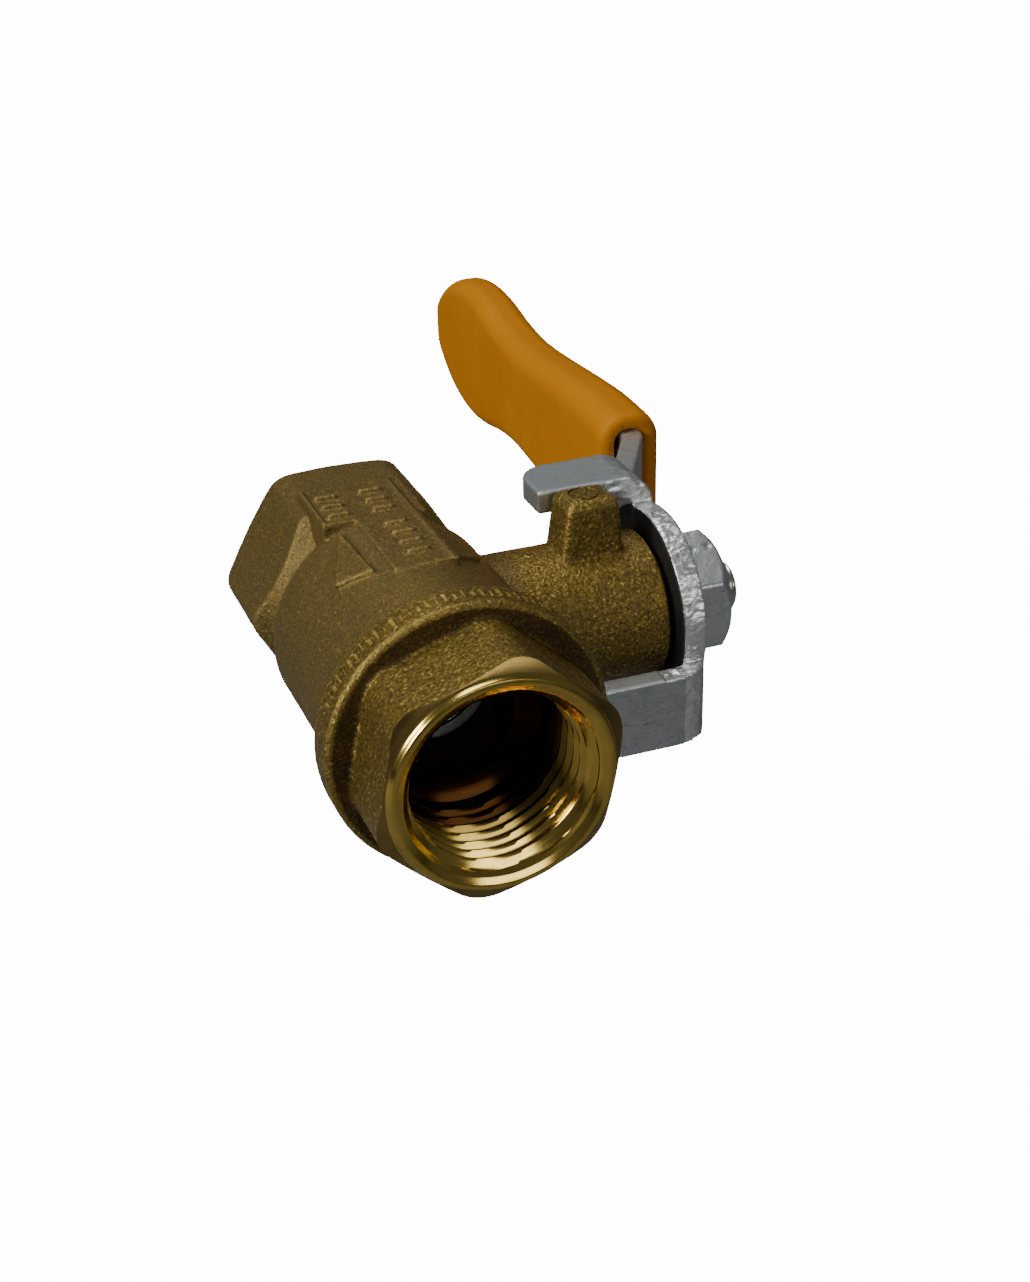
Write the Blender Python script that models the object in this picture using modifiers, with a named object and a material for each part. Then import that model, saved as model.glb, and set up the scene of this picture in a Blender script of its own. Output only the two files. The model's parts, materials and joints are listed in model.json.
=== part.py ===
"""Two-piece 3/8 inch brass gas ball valve with a steel lever and a dipped grip.

Frame while modelling: the ball's centre is the origin, Y runs along the pipe
(end cap at -Y), X is the stem axis (lever outside, at +X) and the stop lug
stands on the neck at +Z.  ROOT then moves everything so that the bounding
box's bottom centre is at the world origin.
"""
import bpy
import bmesh
import math
from mathutils import Matrix, Vector

MM = 0.001
GAP = 0.3                 # clearance between touching pieces

# pipe side
HEX_AF = 20.0             # both wrench hexagons, across flats
HEX_CORNER_R = 2.3        # cast rounding of the far hexagon's corners
FAR_Y = 21.0              # far port face
HEX_Y = 12.2              # far hexagon starts here
BARREL_R = 10.7
MOUTH_Y = -13.75          # body's open end, where the cap screws in
FLANGE_R = 12.6
FLANGE_T = 3.55
CAP_FACE_Y = -25.7        # near port face
CAP_HEX_TURN = 78.8       # degrees from +X to the cap hexagon's first corner
CAP_CORNER_R = 3.4        # rounding of the cap hexagon's corners
THREAD_MINOR_R = 7.475    # G 3/8 female thread, minor radius
PORT_CHAMFER_R = 8.68
PORT_CHAMFER_T = 1.3
THREAD_LEN = 11.0
FACE_RING_R = 9.65        # turned flat ring on each port face
SPIGOT_R = 9.3
SPIGOT_END_Y = -5.3
CAVITY_R = 8.25
BORE_R = 5.0              # DN 10 waterway
BALL_R = 7.95
SEAT_OUT_R = 7.9
SEAT_IN_R = 5.2
SEAT_LIP_R = 6.9
SEAT_BACK_Y = 7.6

# stem side
NECK_R = 7.0
NECK_X = 23.4
STEM_R = 3.5
STEM_FLANGE_R = 4.6
STEM_END_X = 32.2
THREAD_R = 3.0
TANG_Y = 1.7
TANG_Z = 4.0
DD_HALF = 2.2             # half width over the stem's two flats
O_RING_X = (15.0, 19.0)
O_RING_R = 0.5
O_RING_MID_R = 3.0

# stop lug on the neck
LUG_X = (14.4, 20.7)
LUG_HALF_Y = 2.5
LUG_TOP_Z = 12.0

# lever
PLATE_T = 2.2
HUB_X = 23.7              # inner face of the hub plate
HUB_R = 9.0
TAB_END_X = 14.3
TAB_A_TOP_Z = 11.5
TAB_A_Y = (2.8, 9.1)
TAB_B_FACE_Y = -10.7
TAB_B_Z = (-9.6, -2.95)
ARM_HALF_Z = 6.5
JOG_START_Y = 9.2
JOG_END_Y = 24.6
GRIP_X = 33.5             # middle plane of the outer arm
GRIP_T = (6.7, 4.6)       # thickness at the opening and at the tip
GRIP_START_Y = 25.2
GRIP_LEAN = 0.0213        # outward run per millimetre along the grip
GRIP_END_Y = 85.4
# stations of the grip's outline: distance along Y, half width
GRIP_OUTLINE = ((25.2, 7.9), (32.1, 8.1), (40.2, 7.6), (48.4, 6.9), (55.5, 6.6),
                (61.6, 7.2), (66.7, 8.2), (71.3, 8.5), (76.3, 7.8), (80.9, 5.8),
                (84.0, 3.1), (85.4, 0.0))

# lever nut
NUT_AF = 11.0
NUT_X = (26.2, 30.2)
NUT_HOLE_R = 3.3

# limits of the whole valve: flange edge to grip, port face to grip tip
X_LIMITS = (-FLANGE_R, 37.08)
Y_LIMITS = (CAP_FACE_Y, GRIP_END_Y)
ROOT = (-sum(X_LIMITS) / 2, -sum(Y_LIMITS) / 2, FLANGE_R)

for old in list(bpy.data.objects):
    bpy.data.objects.remove(old, do_unlink=True)

valve = bpy.data.collections.new("gas_ball_valve")
cutters = bpy.data.collections.new("cutters")
bpy.context.scene.collection.children.link(valve)
bpy.context.scene.collection.children.link(cutters)

root = bpy.data.objects.new("valve_root", None)
root.location = Vector(ROOT) * MM
valve.objects.link(root)
lever_axis = bpy.data.objects.new("lever_axis", None)
lever_axis.parent = root
valve.objects.link(lever_axis)


def material(name, colour, roughness, metallic):
    mat = bpy.data.materials.new(name)
    mat.use_nodes = True
    bsdf = mat.node_tree.nodes["Principled BSDF"]
    bsdf.inputs["Base Color"].default_value = (*colour, 1.0)
    bsdf.inputs["Roughness"].default_value = roughness
    bsdf.inputs["Metallic"].default_value = metallic
    return mat


def place(obj, mat=None, parent=root, cutter=False):
    """Link a finished object as a part of the valve, or as a cutter."""
    if cutter:
        cutters.objects.link(obj)
        obj.hide_render = True
        obj.display_type = "WIRE"
    else:
        valve.objects.link(obj)
        obj.data.materials.append(mat)
        obj.data.shade_smooth()
        obj.data.set_sharp_from_angle(angle=math.radians(35))
    obj.parent = parent
    return obj


def mesh_object(name, bm):
    bmesh.ops.recalc_face_normals(bm, faces=bm.faces)
    mesh = bpy.data.meshes.new(name)
    bm.to_mesh(mesh)
    bm.free()
    return bpy.data.objects.new(name, mesh)


def turned(name, profile, axis="Y", closed=False, steps=48, phase=0.0):
    """Spin (radius, position) points, given down the outer side, about an axis."""
    mesh = bpy.data.meshes.new(name)
    verts = [(r * MM, 0.0, z * MM) for r, z in profile]
    edges = [(i, i + 1) for i in range(len(verts) - 1)]
    if closed:
        edges.append((len(verts) - 1, 0))
    mesh.from_pydata(verts, edges, [])
    obj = bpy.data.objects.new(name, mesh)
    screw = obj.modifiers.new("spin", "SCREW")
    screw.steps = steps
    screw.render_steps = steps
    screw.use_merge_vertices = True
    screw.merge_threshold = 0.00001
    if axis == "Y":
        obj.rotation_euler = (math.radians(-90), 0.0, 0.0)
    elif axis == "X":
        obj.rotation_euler = (math.radians(phase), math.radians(90), 0.0)
    return obj


def box(name, low, high):
    bm = bmesh.new()
    bmesh.ops.create_cube(bm, size=1.0)
    size = [(b - a) * MM for a, b in zip(low, high)]
    centre = [(a + b) / 2 * MM for a, b in zip(low, high)]
    bmesh.ops.scale(bm, vec=size, verts=bm.verts)
    bmesh.ops.translate(bm, vec=centre, verts=bm.verts)
    return mesh_object(name, bm)


def prism(name, outline, to_point, depth):
    """Extrude a flat outline; to_point maps (u, v) and a height to a point."""
    bm = bmesh.new()
    low = [bm.verts.new(Vector(to_point(u, v, depth[0])) * MM) for u, v in outline]
    face = bm.faces.new(low)
    step = Vector(to_point(0, 0, depth[1])) - Vector(to_point(0, 0, depth[0]))
    new = bmesh.ops.extrude_face_region(bm, geom=[face])
    verts = [v for v in new["geom"] if isinstance(v, bmesh.types.BMVert)]
    bmesh.ops.translate(bm, vec=step * MM, verts=verts)
    return mesh_object(name, bm)


def hexagon(name, across_flats, span, axis, turn, corner_r=0.0):
    """Hexagonal bar along Y or X; turn is the first corner's angle from +X or +Z."""
    bm = bmesh.new()
    r = across_flats / math.sqrt(3) * MM
    bmesh.ops.create_cone(bm, cap_ends=True, segments=6, radius1=r, radius2=r,
                          depth=(span[1] - span[0]) * MM)
    if corner_r:
        side = [e for e in bm.edges
                if abs(e.verts[0].co.z - e.verts[1].co.z) > 0.001]
        bmesh.ops.bevel(bm, geom=side, offset=corner_r * math.tan(math.radians(30)) * MM,
                        segments=3, profile=0.5, affect="EDGES")
    bmesh.ops.translate(bm, vec=(0, 0, sum(span) / 2 * MM), verts=bm.verts)
    # create_cone puts its first corner on local +Y
    bmesh.ops.rotate(bm, cent=(0, 0, 0), verts=bm.verts,
                     matrix=Matrix.Rotation(math.radians(-90), 3, "Z"))
    if axis == "Y":
        spin = Matrix.Rotation(math.radians(-90), 3, "X")
        turn_m = Matrix.Rotation(math.radians(-turn), 3, "Y")
    else:
        spin = Matrix.Rotation(math.radians(90), 3, "Y")
        turn_m = Matrix.Rotation(math.radians(turn), 3, "X")
    bmesh.ops.rotate(bm, cent=(0, 0, 0), verts=bm.verts, matrix=turn_m @ spin)
    return mesh_object(name, bm)


def boolean(obj, other, operation):
    mod = obj.modifiers.new(operation.lower(), "BOOLEAN")
    mod.operation = operation
    mod.solver = "EXACT"
    mod.object = other
    return mod


def arc(cx, cy, r, start, end, n):
    return [(cx + r * math.cos(math.radians(start + (end - start) * i / n)),
             cy + r * math.sin(math.radians(start + (end - start) * i / n)))
            for i in range(n + 1)]


def strip(path, thickness, radius, n=5):
    """Closed outline of a bent sheet: a mid-line polyline with rounded bends."""
    mid = [Vector(path[0])]
    for a, b, c in zip(path, path[1:], path[2:]):
        a, b, c = Vector(a), Vector(b), Vector(c)
        u, v = (a - b).normalized(), (c - b).normalized()
        half = math.acos(max(-1.0, min(1.0, u.dot(v)))) / 2
        reach = radius / math.tan(half)
        centre = b + (u + v).normalized() * (radius / math.sin(half))
        p, q = b + u * reach - centre, b + v * reach - centre
        angle = p.angle_signed(q)
        for i in range(n + 1):
            mid.append(centre + Matrix.Rotation(-angle * i / n, 2) @ p)
    mid.append(Vector(path[-1]))
    left, right = [], []
    for i, point in enumerate(mid):
        before = mid[i] - mid[max(i - 1, 0)]
        after = mid[min(i + 1, len(mid) - 1)] - mid[i]
        along = (before.normalized() + after.normalized()).normalized()
        side = Vector((-along.y, along.x)) * thickness / 2
        left.append(tuple(point + side))
        right.append(tuple(point - side))
    return left + right[::-1]


def lean(x, y):
    """Outward lean of the grip and the arm inside it."""
    return x + (y - GRIP_START_Y) * GRIP_LEAN


brass_cast = material("cast_brass", (0.33, 0.22, 0.075), 0.52, 1.0)
brass_turned = material("machined_brass", (0.62, 0.43, 0.13), 0.25, 1.0)
zinc = material("zinc_plate", (0.52, 0.55, 0.57), 0.42, 1.0)
zinc_nut = material("zinc_nut", (0.56, 0.59, 0.61), 0.36, 1.0)
chrome = material("chrome_ball", (0.78, 0.79, 0.80), 0.08, 1.0)
nickel = material("nickel_stem", (0.66, 0.62, 0.52), 0.22, 1.0)
grip_pvc = material("orange_grip", (0.80, 0.33, 0.01), 0.42, 0.0)
ptfe_a = material("ptfe_seat_front", (0.86, 0.86, 0.83), 0.45, 0.0)
ptfe_b = material("ptfe_seat_rear", (0.86, 0.86, 0.83), 0.45, 0.0)
ptfe_c = material("ptfe_washer", (0.82, 0.82, 0.79), 0.45, 0.0)
rubber_a = material("seal_rubber_lower", (0.02, 0.02, 0.02), 0.6, 0.0)
rubber_b = material("seal_rubber_upper", (0.02, 0.02, 0.02), 0.6, 0.0)


def port_cutter(name, face, sign, bore_end):
    """Chamfered thread bore from a port face, then the waterway."""
    depth = face - sign * THREAD_LEN
    points = [(0.0, face + sign), (PORT_CHAMFER_R, face + sign), (PORT_CHAMFER_R, face),
              (THREAD_MINOR_R, face - sign * PORT_CHAMFER_T), (THREAD_MINOR_R, depth),
              (BORE_R, depth - sign * 1.2), (BORE_R, bore_end), (0.0, bore_end)]
    if sign < 0:
        points = points[::-1]
    return place(turned(name, points), cutter=True)


# ---------------------------------------------------------------- valve body
barrel = turned("valve_body", [
    (0.0, 15.5), (9.0, 15.5), (9.7, 14.2), (BARREL_R - 0.5, HEX_Y), (BARREL_R, HEX_Y - 1.6),
    (BARREL_R, MOUTH_Y + 0.4), (BARREL_R - 0.4, MOUTH_Y), (0.0, MOUTH_Y)])
far_hex = hexagon("far_hex", HEX_AF, (6.5, FAR_Y), "Y", 0.0, HEX_CORNER_R)
place(far_hex, cutter=True)
hex_turning = place(turned("far_hex_turning", [
    (0.0, FAR_Y + 0.01), (FACE_RING_R, FAR_Y + 0.01), (12.2, FAR_Y - 1.5), (12.2, 5.0),
    (0.0, 5.0)]), cutter=True)
boolean(far_hex, hex_turning, "INTERSECT")
# the hexagon fades into the round barrel over a short cone
hex_fade = place(turned("far_hex_fade", [
    (0.0, 22.0), (12.4, 22.0), (12.4, HEX_Y + 1.2), (BARREL_R - 0.7, HEX_Y - 2.6),
    (BARREL_R - 0.7, 5.5), (0.0, 5.5)]), cutter=True)
boolean(far_hex, hex_fade, "INTERSECT")
neck = place(turned("neck", [
    (0.0, NECK_X), (NECK_R - 0.5, NECK_X), (NECK_R, NECK_X - 0.5), (NECK_R, 2.0),
    (0.0, 2.0)], axis="X"), cutter=True)


def lug_mesh():
    """Drafted stop lug with rounded corners."""
    bm = bmesh.new()
    bmesh.ops.create_cube(bm, size=1.0)
    base_z = 4.5
    for v in bm.verts:
        top = v.co.z > 0
        x_in = (1.0 if v.co.x < 0 else 0.4) if top else 0.0
        half = LUG_HALF_Y - (0.35 if top else 0.0)
        x = LUG_X[0] + x_in if v.co.x < 0 else LUG_X[1] - x_in
        v.co = Vector((x, math.copysign(half, v.co.y), LUG_TOP_Z if top else base_z)) * MM
    up = [e for e in bm.edges if abs(e.verts[0].co.z - e.verts[1].co.z) > 0.001]
    bmesh.ops.bevel(bm, geom=up, offset=0.9 * MM, segments=3, profile=0.5, affect="EDGES")
    rim = [e for e in bm.edges if min(v.co.z for v in e.verts) > (LUG_TOP_Z - 0.1) * MM]
    bmesh.ops.bevel(bm, geom=rim, offset=0.45 * MM, segments=2, profile=0.5,
                    affect="EDGES")
    return mesh_object("stop_lug", bm)


lug = place(lug_mesh(), cutter=True)
pad = box("marking_pad", (-5.2, -7.0, 5.0), (5.2, 15.0, 10.75))
pad_bevel = pad.modifiers.new("edge", "BEVEL")
pad_bevel.width = 0.5 * MM
pad_bevel.segments = 1
place(pad, cutter=True)
for shape in (far_hex, pad, neck, lug):
    boolean(barrel, shape, "UNION")

boolean(barrel, port_cutter("rear_port", FAR_Y, 1, 2.0), "DIFFERENCE")
cavity = place(turned("ball_cavity", [
    (0.0, SEAT_BACK_Y + GAP), (CAVITY_R, SEAT_BACK_Y + GAP), (CAVITY_R, SPIGOT_END_Y + GAP),
    (SPIGOT_R + GAP, SPIGOT_END_Y + GAP), (SPIGOT_R + GAP, MOUTH_Y - 1.0),
    (0.0, MOUTH_Y - 1.0)]), cutter=True)
boolean(barrel, cavity, "DIFFERENCE")
stem_bore = place(turned("stem_bore", [
    (0.0, NECK_X + 1.0), (STEM_R + GAP, NECK_X + 1.0), (STEM_R + GAP, 11.8),
    (STEM_FLANGE_R + GAP, 11.8), (STEM_FLANGE_R + GAP, 4.0), (0.0, 4.0)],
    axis="X", steps=40), cutter=True)
boolean(barrel, stem_bore, "DIFFERENCE")
place(barrel, brass_cast)

# ------------------------------------------------------------------- end cap
flange_y = MOUTH_Y - GAP
flange_front = flange_y - FLANGE_T
cap = turned("end_cap", [
    (0.0, SPIGOT_END_Y), (SPIGOT_R - 0.4, SPIGOT_END_Y), (SPIGOT_R, SPIGOT_END_Y - 0.4),
    (SPIGOT_R, flange_y), (FLANGE_R, flange_y), (FLANGE_R, flange_front + 0.5),
    (FLANGE_R - 0.5, flange_front), (0.0, flange_front)], steps=64)
cap_hex = hexagon("cap_hex", HEX_AF, (CAP_FACE_Y, flange_front + 1.5), "Y", CAP_HEX_TURN,
                  CAP_CORNER_R)
place(cap_hex, cutter=True)
cap_turning = place(turned("cap_hex_turning", [
    (0.0, flange_front + 2.0), (12.4, flange_front + 2.0), (12.4, CAP_FACE_Y + 1.6),
    (FACE_RING_R, CAP_FACE_Y - 0.01), (0.0, CAP_FACE_Y - 0.01)], steps=64), cutter=True)
boolean(cap_hex, cap_turning, "INTERSECT")
boolean(cap, cap_hex, "UNION")
boolean(cap, port_cutter("front_port", CAP_FACE_Y, -1, -2.0), "DIFFERENCE")
seat_pocket = place(turned("front_seat_pocket", [
    (0.0, -2.0), (SEAT_OUT_R + GAP, -2.0), (SEAT_OUT_R + GAP, -SEAT_BACK_Y - GAP),
    (0.0, -SEAT_BACK_Y - GAP)]), cutter=True)
boolean(cap, seat_pocket, "DIFFERENCE")
place(cap, brass_turned)

# -------------------------------------------------------------- ball and seats
bm = bmesh.new()
bmesh.ops.create_uvsphere(bm, u_segments=40, v_segments=24, radius=BALL_R * MM)
bmesh.ops.rotate(bm, cent=(0, 0, 0), verts=bm.verts,
                 matrix=Matrix.Rotation(math.radians(90), 3, "X"))
ball = mesh_object("ball", bm)
ball_bore = place(turned("ball_bore", [
    (0.0, 9.0), (BORE_R, 9.0), (BORE_R, -9.0), (0.0, -9.0)], steps=40), cutter=True,
    parent=lever_axis)
ball_slot = place(box("ball_slot", (5.6, -TANG_Y - GAP, -9.0), (9.0, TANG_Y + GAP, 9.0)),
                  cutter=True, parent=lever_axis)
boolean(ball, ball_bore, "DIFFERENCE")
boolean(ball, ball_slot, "DIFFERENCE")
place(ball, chrome, parent=lever_axis)


def seat(name, side, mat):
    """PTFE ring whose inner lip follows the ball."""
    touch = BALL_R + GAP
    radii = [SEAT_IN_R + (SEAT_LIP_R - SEAT_IN_R) * i / 5 for i in range(6)]
    lip = [(r, math.sqrt(touch ** 2 - r ** 2)) for r in radii]
    outline = [(SEAT_IN_R, SEAT_BACK_Y), (SEAT_OUT_R, SEAT_BACK_Y), (SEAT_OUT_R, lip[-1][1])]
    outline += lip[::-1]
    if side < 0:
        outline = [(r, -y) for r, y in outline][::-1]
    return place(turned(name, outline, closed=True, steps=40), mat)


seat("seat_ring_front", -1, ptfe_a)
seat("seat_ring_rear", 1, ptfe_b)

# ---------------------------------------------------------------------- stem
groove = O_RING_R + GAP
stem_points = [(0.0, STEM_END_X), (THREAD_R - 0.7, STEM_END_X),
               (THREAD_R, STEM_END_X - 0.8), (THREAD_R, HUB_X), (STEM_R, HUB_X - 0.4)]
for x in O_RING_X[::-1]:
    stem_points += [(STEM_R, x + groove), (O_RING_MID_R - groove, x + groove),
                    (O_RING_MID_R - groove, x - groove), (STEM_R, x - groove)]
stem_points += [(STEM_R, 10.3), (STEM_FLANGE_R, 10.3), (STEM_FLANGE_R, 8.5),
                (0.0, 8.5)]
stem = turned("stem", stem_points, axis="X", steps=40)
flats = [place(box("stem_flat_%d" % i, (HUB_X - 0.2, low, -4.0), (NUT_X[0] - 0.1, high, 4.0)),
               cutter=True, parent=lever_axis)
         for i, (low, high) in enumerate(((DD_HALF, 4.0), (-4.0, -DD_HALF)))]
tang = place(box("stem_tang", (5.9, -TANG_Y, -TANG_Z), (9.2, TANG_Y, TANG_Z)),
             cutter=True, parent=lever_axis)
boolean(stem, tang, "UNION")
for cut in flats:
    boolean(stem, cut, "DIFFERENCE")
place(stem, nickel, parent=lever_axis)

washer = turned("stem_washer", [
    (STEM_R + GAP, 11.5), (STEM_FLANGE_R, 11.5), (STEM_FLANGE_R, 10.6),
    (STEM_R + GAP, 10.6)], axis="X", closed=True, steps=40)
place(washer, ptfe_c)


def o_ring(name, x, mat):
    circle = [(O_RING_MID_R + O_RING_R * math.cos(-2 * math.pi * i / 10),
               x + O_RING_R * math.sin(-2 * math.pi * i / 10)) for i in range(10)]
    return place(turned(name, circle, axis="X", closed=True, steps=32), mat,
                 parent=lever_axis)


o_ring("o_ring_lower", O_RING_X[0], rubber_a)
o_ring("o_ring_upper", O_RING_X[1], rubber_b)

# --------------------------------------------------------------------- lever
mid_x = HUB_X + PLATE_T / 2
hub_outline = arc(0.0, 0.0, HUB_R, 46.0, 314.0, 36)
hub_outline += [(JOG_START_Y, -ARM_HALF_Z), (JOG_START_Y, ARM_HALF_Z)]
hub = prism("lever_plate", hub_outline, lambda u, v, h: (h, u, v),
            (HUB_X, HUB_X + PLATE_T))
tab_a = prism("tab_a", strip([(mid_x, 3.0), (mid_x, TAB_A_TOP_Z - PLATE_T / 2),
                              (TAB_END_X, TAB_A_TOP_Z - PLATE_T / 2)], PLATE_T, 1.9),
              lambda u, v, h: (u, h, v), TAB_A_Y)
tab_b = prism("tab_b", strip([(mid_x, -3.0), (mid_x, TAB_B_FACE_Y + PLATE_T / 2),
                              (TAB_END_X, TAB_B_FACE_Y + PLATE_T / 2)], PLATE_T, 1.9),
              lambda u, v, h: (u, v, h), TAB_B_Z)
# each tab has one rounded free corner, away from its stop edge
r_a, r_b = 3.0, 2.5
tab_a_plan = prism("tab_a_plan", [(30.0, TAB_A_Y[0] - 1.0), (30.0, TAB_A_Y[1])]
                   + arc(TAB_END_X + r_a, TAB_A_Y[1] - r_a, r_a, 90.0, 180.0, 6)
                   + [(TAB_END_X, TAB_A_Y[0] - 1.0)],
                   lambda u, v, h: (u, v, h), (0.0, 14.0))
tab_b_plan = prism("tab_b_plan", [(30.0, TAB_B_Z[1] + 1.0), (30.0, TAB_B_Z[0])]
                   + arc(TAB_END_X + r_b, TAB_B_Z[0] + r_b, r_b, 270.0, 180.0, 6)
                   + [(TAB_END_X, TAB_B_Z[1] + 1.0)],
                   lambda u, v, h: (u, h, v), (-14.0, 0.0))
arm = prism("arm", strip([(mid_x, 3.0), (mid_x, JOG_START_Y), (GRIP_X, JOG_END_Y),
                          (lean(GRIP_X, GRIP_END_Y), GRIP_END_Y)], PLATE_T, 3.0, 4),
            lambda u, v, h: (u, v, h), (-9.5, 9.5))


def half_width(y, inset=0.0):
    """Smooth half width of the grip at a station along the lever."""
    pts = GRIP_OUTLINE
    i = max(k for k in range(len(pts) - 1) if pts[k][0] <= max(y, pts[0][0]))
    (y1, w1), (y2, w2) = pts[i], pts[i + 1]
    before = pts[i - 1] if i > 0 else (2 * y1 - y2, w1)
    after = pts[i + 2] if i + 2 < len(pts) else (y2 + 0.4, -3.0)
    m1 = (w2 - before[1]) / (y2 - before[0])
    m2 = (after[1] - w1) / (after[0] - y1)
    t = (y - y1) / (y2 - y1)
    h = y2 - y1
    w = ((2 * t ** 3 - 3 * t ** 2 + 1) * w1 + (t ** 3 - 2 * t ** 2 + t) * h * m1
         + (3 * t ** 2 - 2 * t ** 3) * w2 + (t ** 3 - t ** 2) * h * m2)
    return w * (1.0 - inset / 8.2)


def paddle(start, inset, end_inset):
    """Outline of the paddle in Y and Z, drawn in by an inset."""
    stations = [25.2, 30, 35, 40, 44, 48, 52, 56, 60, 63, 66.5, 70, 73, 75.5, 78, 80.2, 82,
                83.4, 84.4, 85.1]
    scale = (GRIP_END_Y - end_inset - 72) / (GRIP_END_Y - 72)
    top = []
    for y in stations:
        y_in = y if y <= 72 else 72 + (y - 72) * scale
        top.append((y_in, half_width(y, inset)))
    top = [(start, top[0][1])] + top[1:]
    tip = (GRIP_END_Y - end_inset, 0.0)
    return [(y, -w) for y, w in top] + [tip] + [(y, w) for y, w in top[::-1]]


metal_outline = paddle(2.0, 2.1, 2.1)
metal_outline = [(y, math.copysign(ARM_HALF_Z - 0.8, z) if y < 27 else z)
                 for y, z in metal_outline]
metal_outline = [(y, math.copysign(ARM_HALF_Z, z) if y < 10 else z)
                 for y, z in metal_outline]
arm_trim = prism("arm_outline", metal_outline, lambda u, v, h: (h, u, v), (20.0, 40.0))
for shape in (tab_a, tab_b, arm, arm_trim, tab_a_plan, tab_b_plan):
    place(shape, cutter=True, parent=lever_axis)
boolean(tab_a, tab_a_plan, "INTERSECT")
boolean(tab_b, tab_b_plan, "INTERSECT")
boolean(arm, arm_trim, "INTERSECT")
for shape in (tab_a, tab_b, arm):
    boolean(hub, shape, "UNION")
stem_hole = place(turned("lever_hole", [
    (0.0, 28.0), (THREAD_R + GAP, 28.0), (THREAD_R + GAP, 20.0), (0.0, 20.0)],
    axis="X", steps=40), cutter=True, parent=lever_axis)
hole_flats = [place(box("hole_flat_%d" % i, (19.0, low, -5.0), (29.0, high, 5.0)),
                    cutter=True, parent=lever_axis)
              for i, (low, high) in enumerate(((DD_HALF + GAP, 5.0), (-5.0, -DD_HALF - GAP)))]
for cut in hole_flats:
    boolean(stem_hole, cut, "DIFFERENCE")
boolean(hub, stem_hole, "DIFFERENCE")
place(hub, zinc, parent=lever_axis)

# ---------------------------------------------------------------------- grip
half_t = GRIP_T[0] / 2
grip = prism("lever_grip", paddle(GRIP_START_Y, 0.0, 0.0),
             lambda u, v, h: (lean(h, u), u, v),
             (GRIP_X - half_t, GRIP_X + half_t))
for vert in grip.data.vertices:      # the paddle thins evenly towards its tip
    y = vert.co.y / MM
    t = (y - GRIP_START_Y) / (GRIP_END_Y - GRIP_START_Y)
    mid = lean(GRIP_X, y) * MM
    vert.co.x = mid + (vert.co.x - mid) * (1.0 + (GRIP_T[1] / GRIP_T[0] - 1.0) * t)
round_off = grip.modifiers.new("round", "BEVEL")
round_off.width = 1.5 * MM
round_off.segments = 3
round_off.limit_method = "ANGLE"
round_off.angle_limit = math.radians(50)
slot_outline = paddle(GRIP_START_Y - 2.0, 2.1 - GAP, 2.1 - GAP)
slot_half = PLATE_T / 2 + GAP
grip_slot = place(prism("grip_slot", slot_outline, lambda u, v, h: (lean(h, u), u, v),
                        (GRIP_X - slot_half, GRIP_X + slot_half)),
                  cutter=True, parent=lever_axis)
boolean(grip, grip_slot, "DIFFERENCE")
place(grip, grip_pvc, parent=lever_axis)

# ----------------------------------------------------------------- lever nut
nut = hexagon("lever_nut", NUT_AF, NUT_X, "X", 0.0)
nut_turning = place(turned("nut_turning", [
    (0.0, NUT_X[1] + 0.01), (NUT_AF / 2 - 0.1, NUT_X[1] + 0.01), (6.6, NUT_X[1] - 1.25),
    (6.6, NUT_X[0] + 0.5), (NUT_AF / 2 + 0.1, NUT_X[0] - 0.01), (0.0, NUT_X[0] - 0.01)],
    axis="X", steps=48), cutter=True, parent=lever_axis)
nut_hole = place(turned("nut_hole", [
    (0.0, NUT_X[1] + 1.0), (NUT_HOLE_R, NUT_X[1] + 1.0), (NUT_HOLE_R, NUT_X[0] - 1.0),
    (0.0, NUT_X[0] - 1.0)], axis="X", steps=40), cutter=True, parent=lever_axis)
boolean(nut, nut_turning, "INTERSECT")
boolean(nut, nut_hole, "DIFFERENCE")
place(nut, zinc_nut, parent=lever_axis)
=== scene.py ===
"""Brass gas ball valve, 3/8 inch: blasted forging, screwed end cap, zinc plated lever
and a dipped orange grip.

Every shape is built in millimetres around the ball's centre: Y runs along the pipe with
the end cap at -Y, X is the stem with the lever outside, and the stop lug points to +Z.
"""
import json
import math

import bmesh
import bpy
import numpy as np
from mathutils import Matrix, Vector, noise


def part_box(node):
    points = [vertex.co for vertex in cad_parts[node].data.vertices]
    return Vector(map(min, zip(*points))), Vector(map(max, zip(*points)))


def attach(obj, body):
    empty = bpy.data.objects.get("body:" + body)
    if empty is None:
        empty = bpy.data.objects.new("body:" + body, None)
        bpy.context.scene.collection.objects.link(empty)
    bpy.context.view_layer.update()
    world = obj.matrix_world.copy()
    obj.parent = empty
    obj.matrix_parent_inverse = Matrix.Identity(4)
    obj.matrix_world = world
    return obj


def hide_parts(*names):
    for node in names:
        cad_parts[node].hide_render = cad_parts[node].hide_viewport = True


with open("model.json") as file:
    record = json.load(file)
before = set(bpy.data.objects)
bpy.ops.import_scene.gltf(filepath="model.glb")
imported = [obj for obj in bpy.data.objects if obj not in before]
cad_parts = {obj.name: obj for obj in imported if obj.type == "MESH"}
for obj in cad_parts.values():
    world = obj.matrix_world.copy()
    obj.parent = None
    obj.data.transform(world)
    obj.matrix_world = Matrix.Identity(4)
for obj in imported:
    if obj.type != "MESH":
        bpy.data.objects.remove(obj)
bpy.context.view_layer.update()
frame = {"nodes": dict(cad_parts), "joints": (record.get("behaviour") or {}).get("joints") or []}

MM = 0.001
CENTRE = Vector(frame["joints"][0]["pos_m"])
COLLECTION = bpy.context.scene.collection


def cad_box(node):
    """Corners of a part in millimetres from the ball's centre."""
    low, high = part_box(node)
    return (low - CENTRE) / MM, (high - CENTRE) / MM


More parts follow.
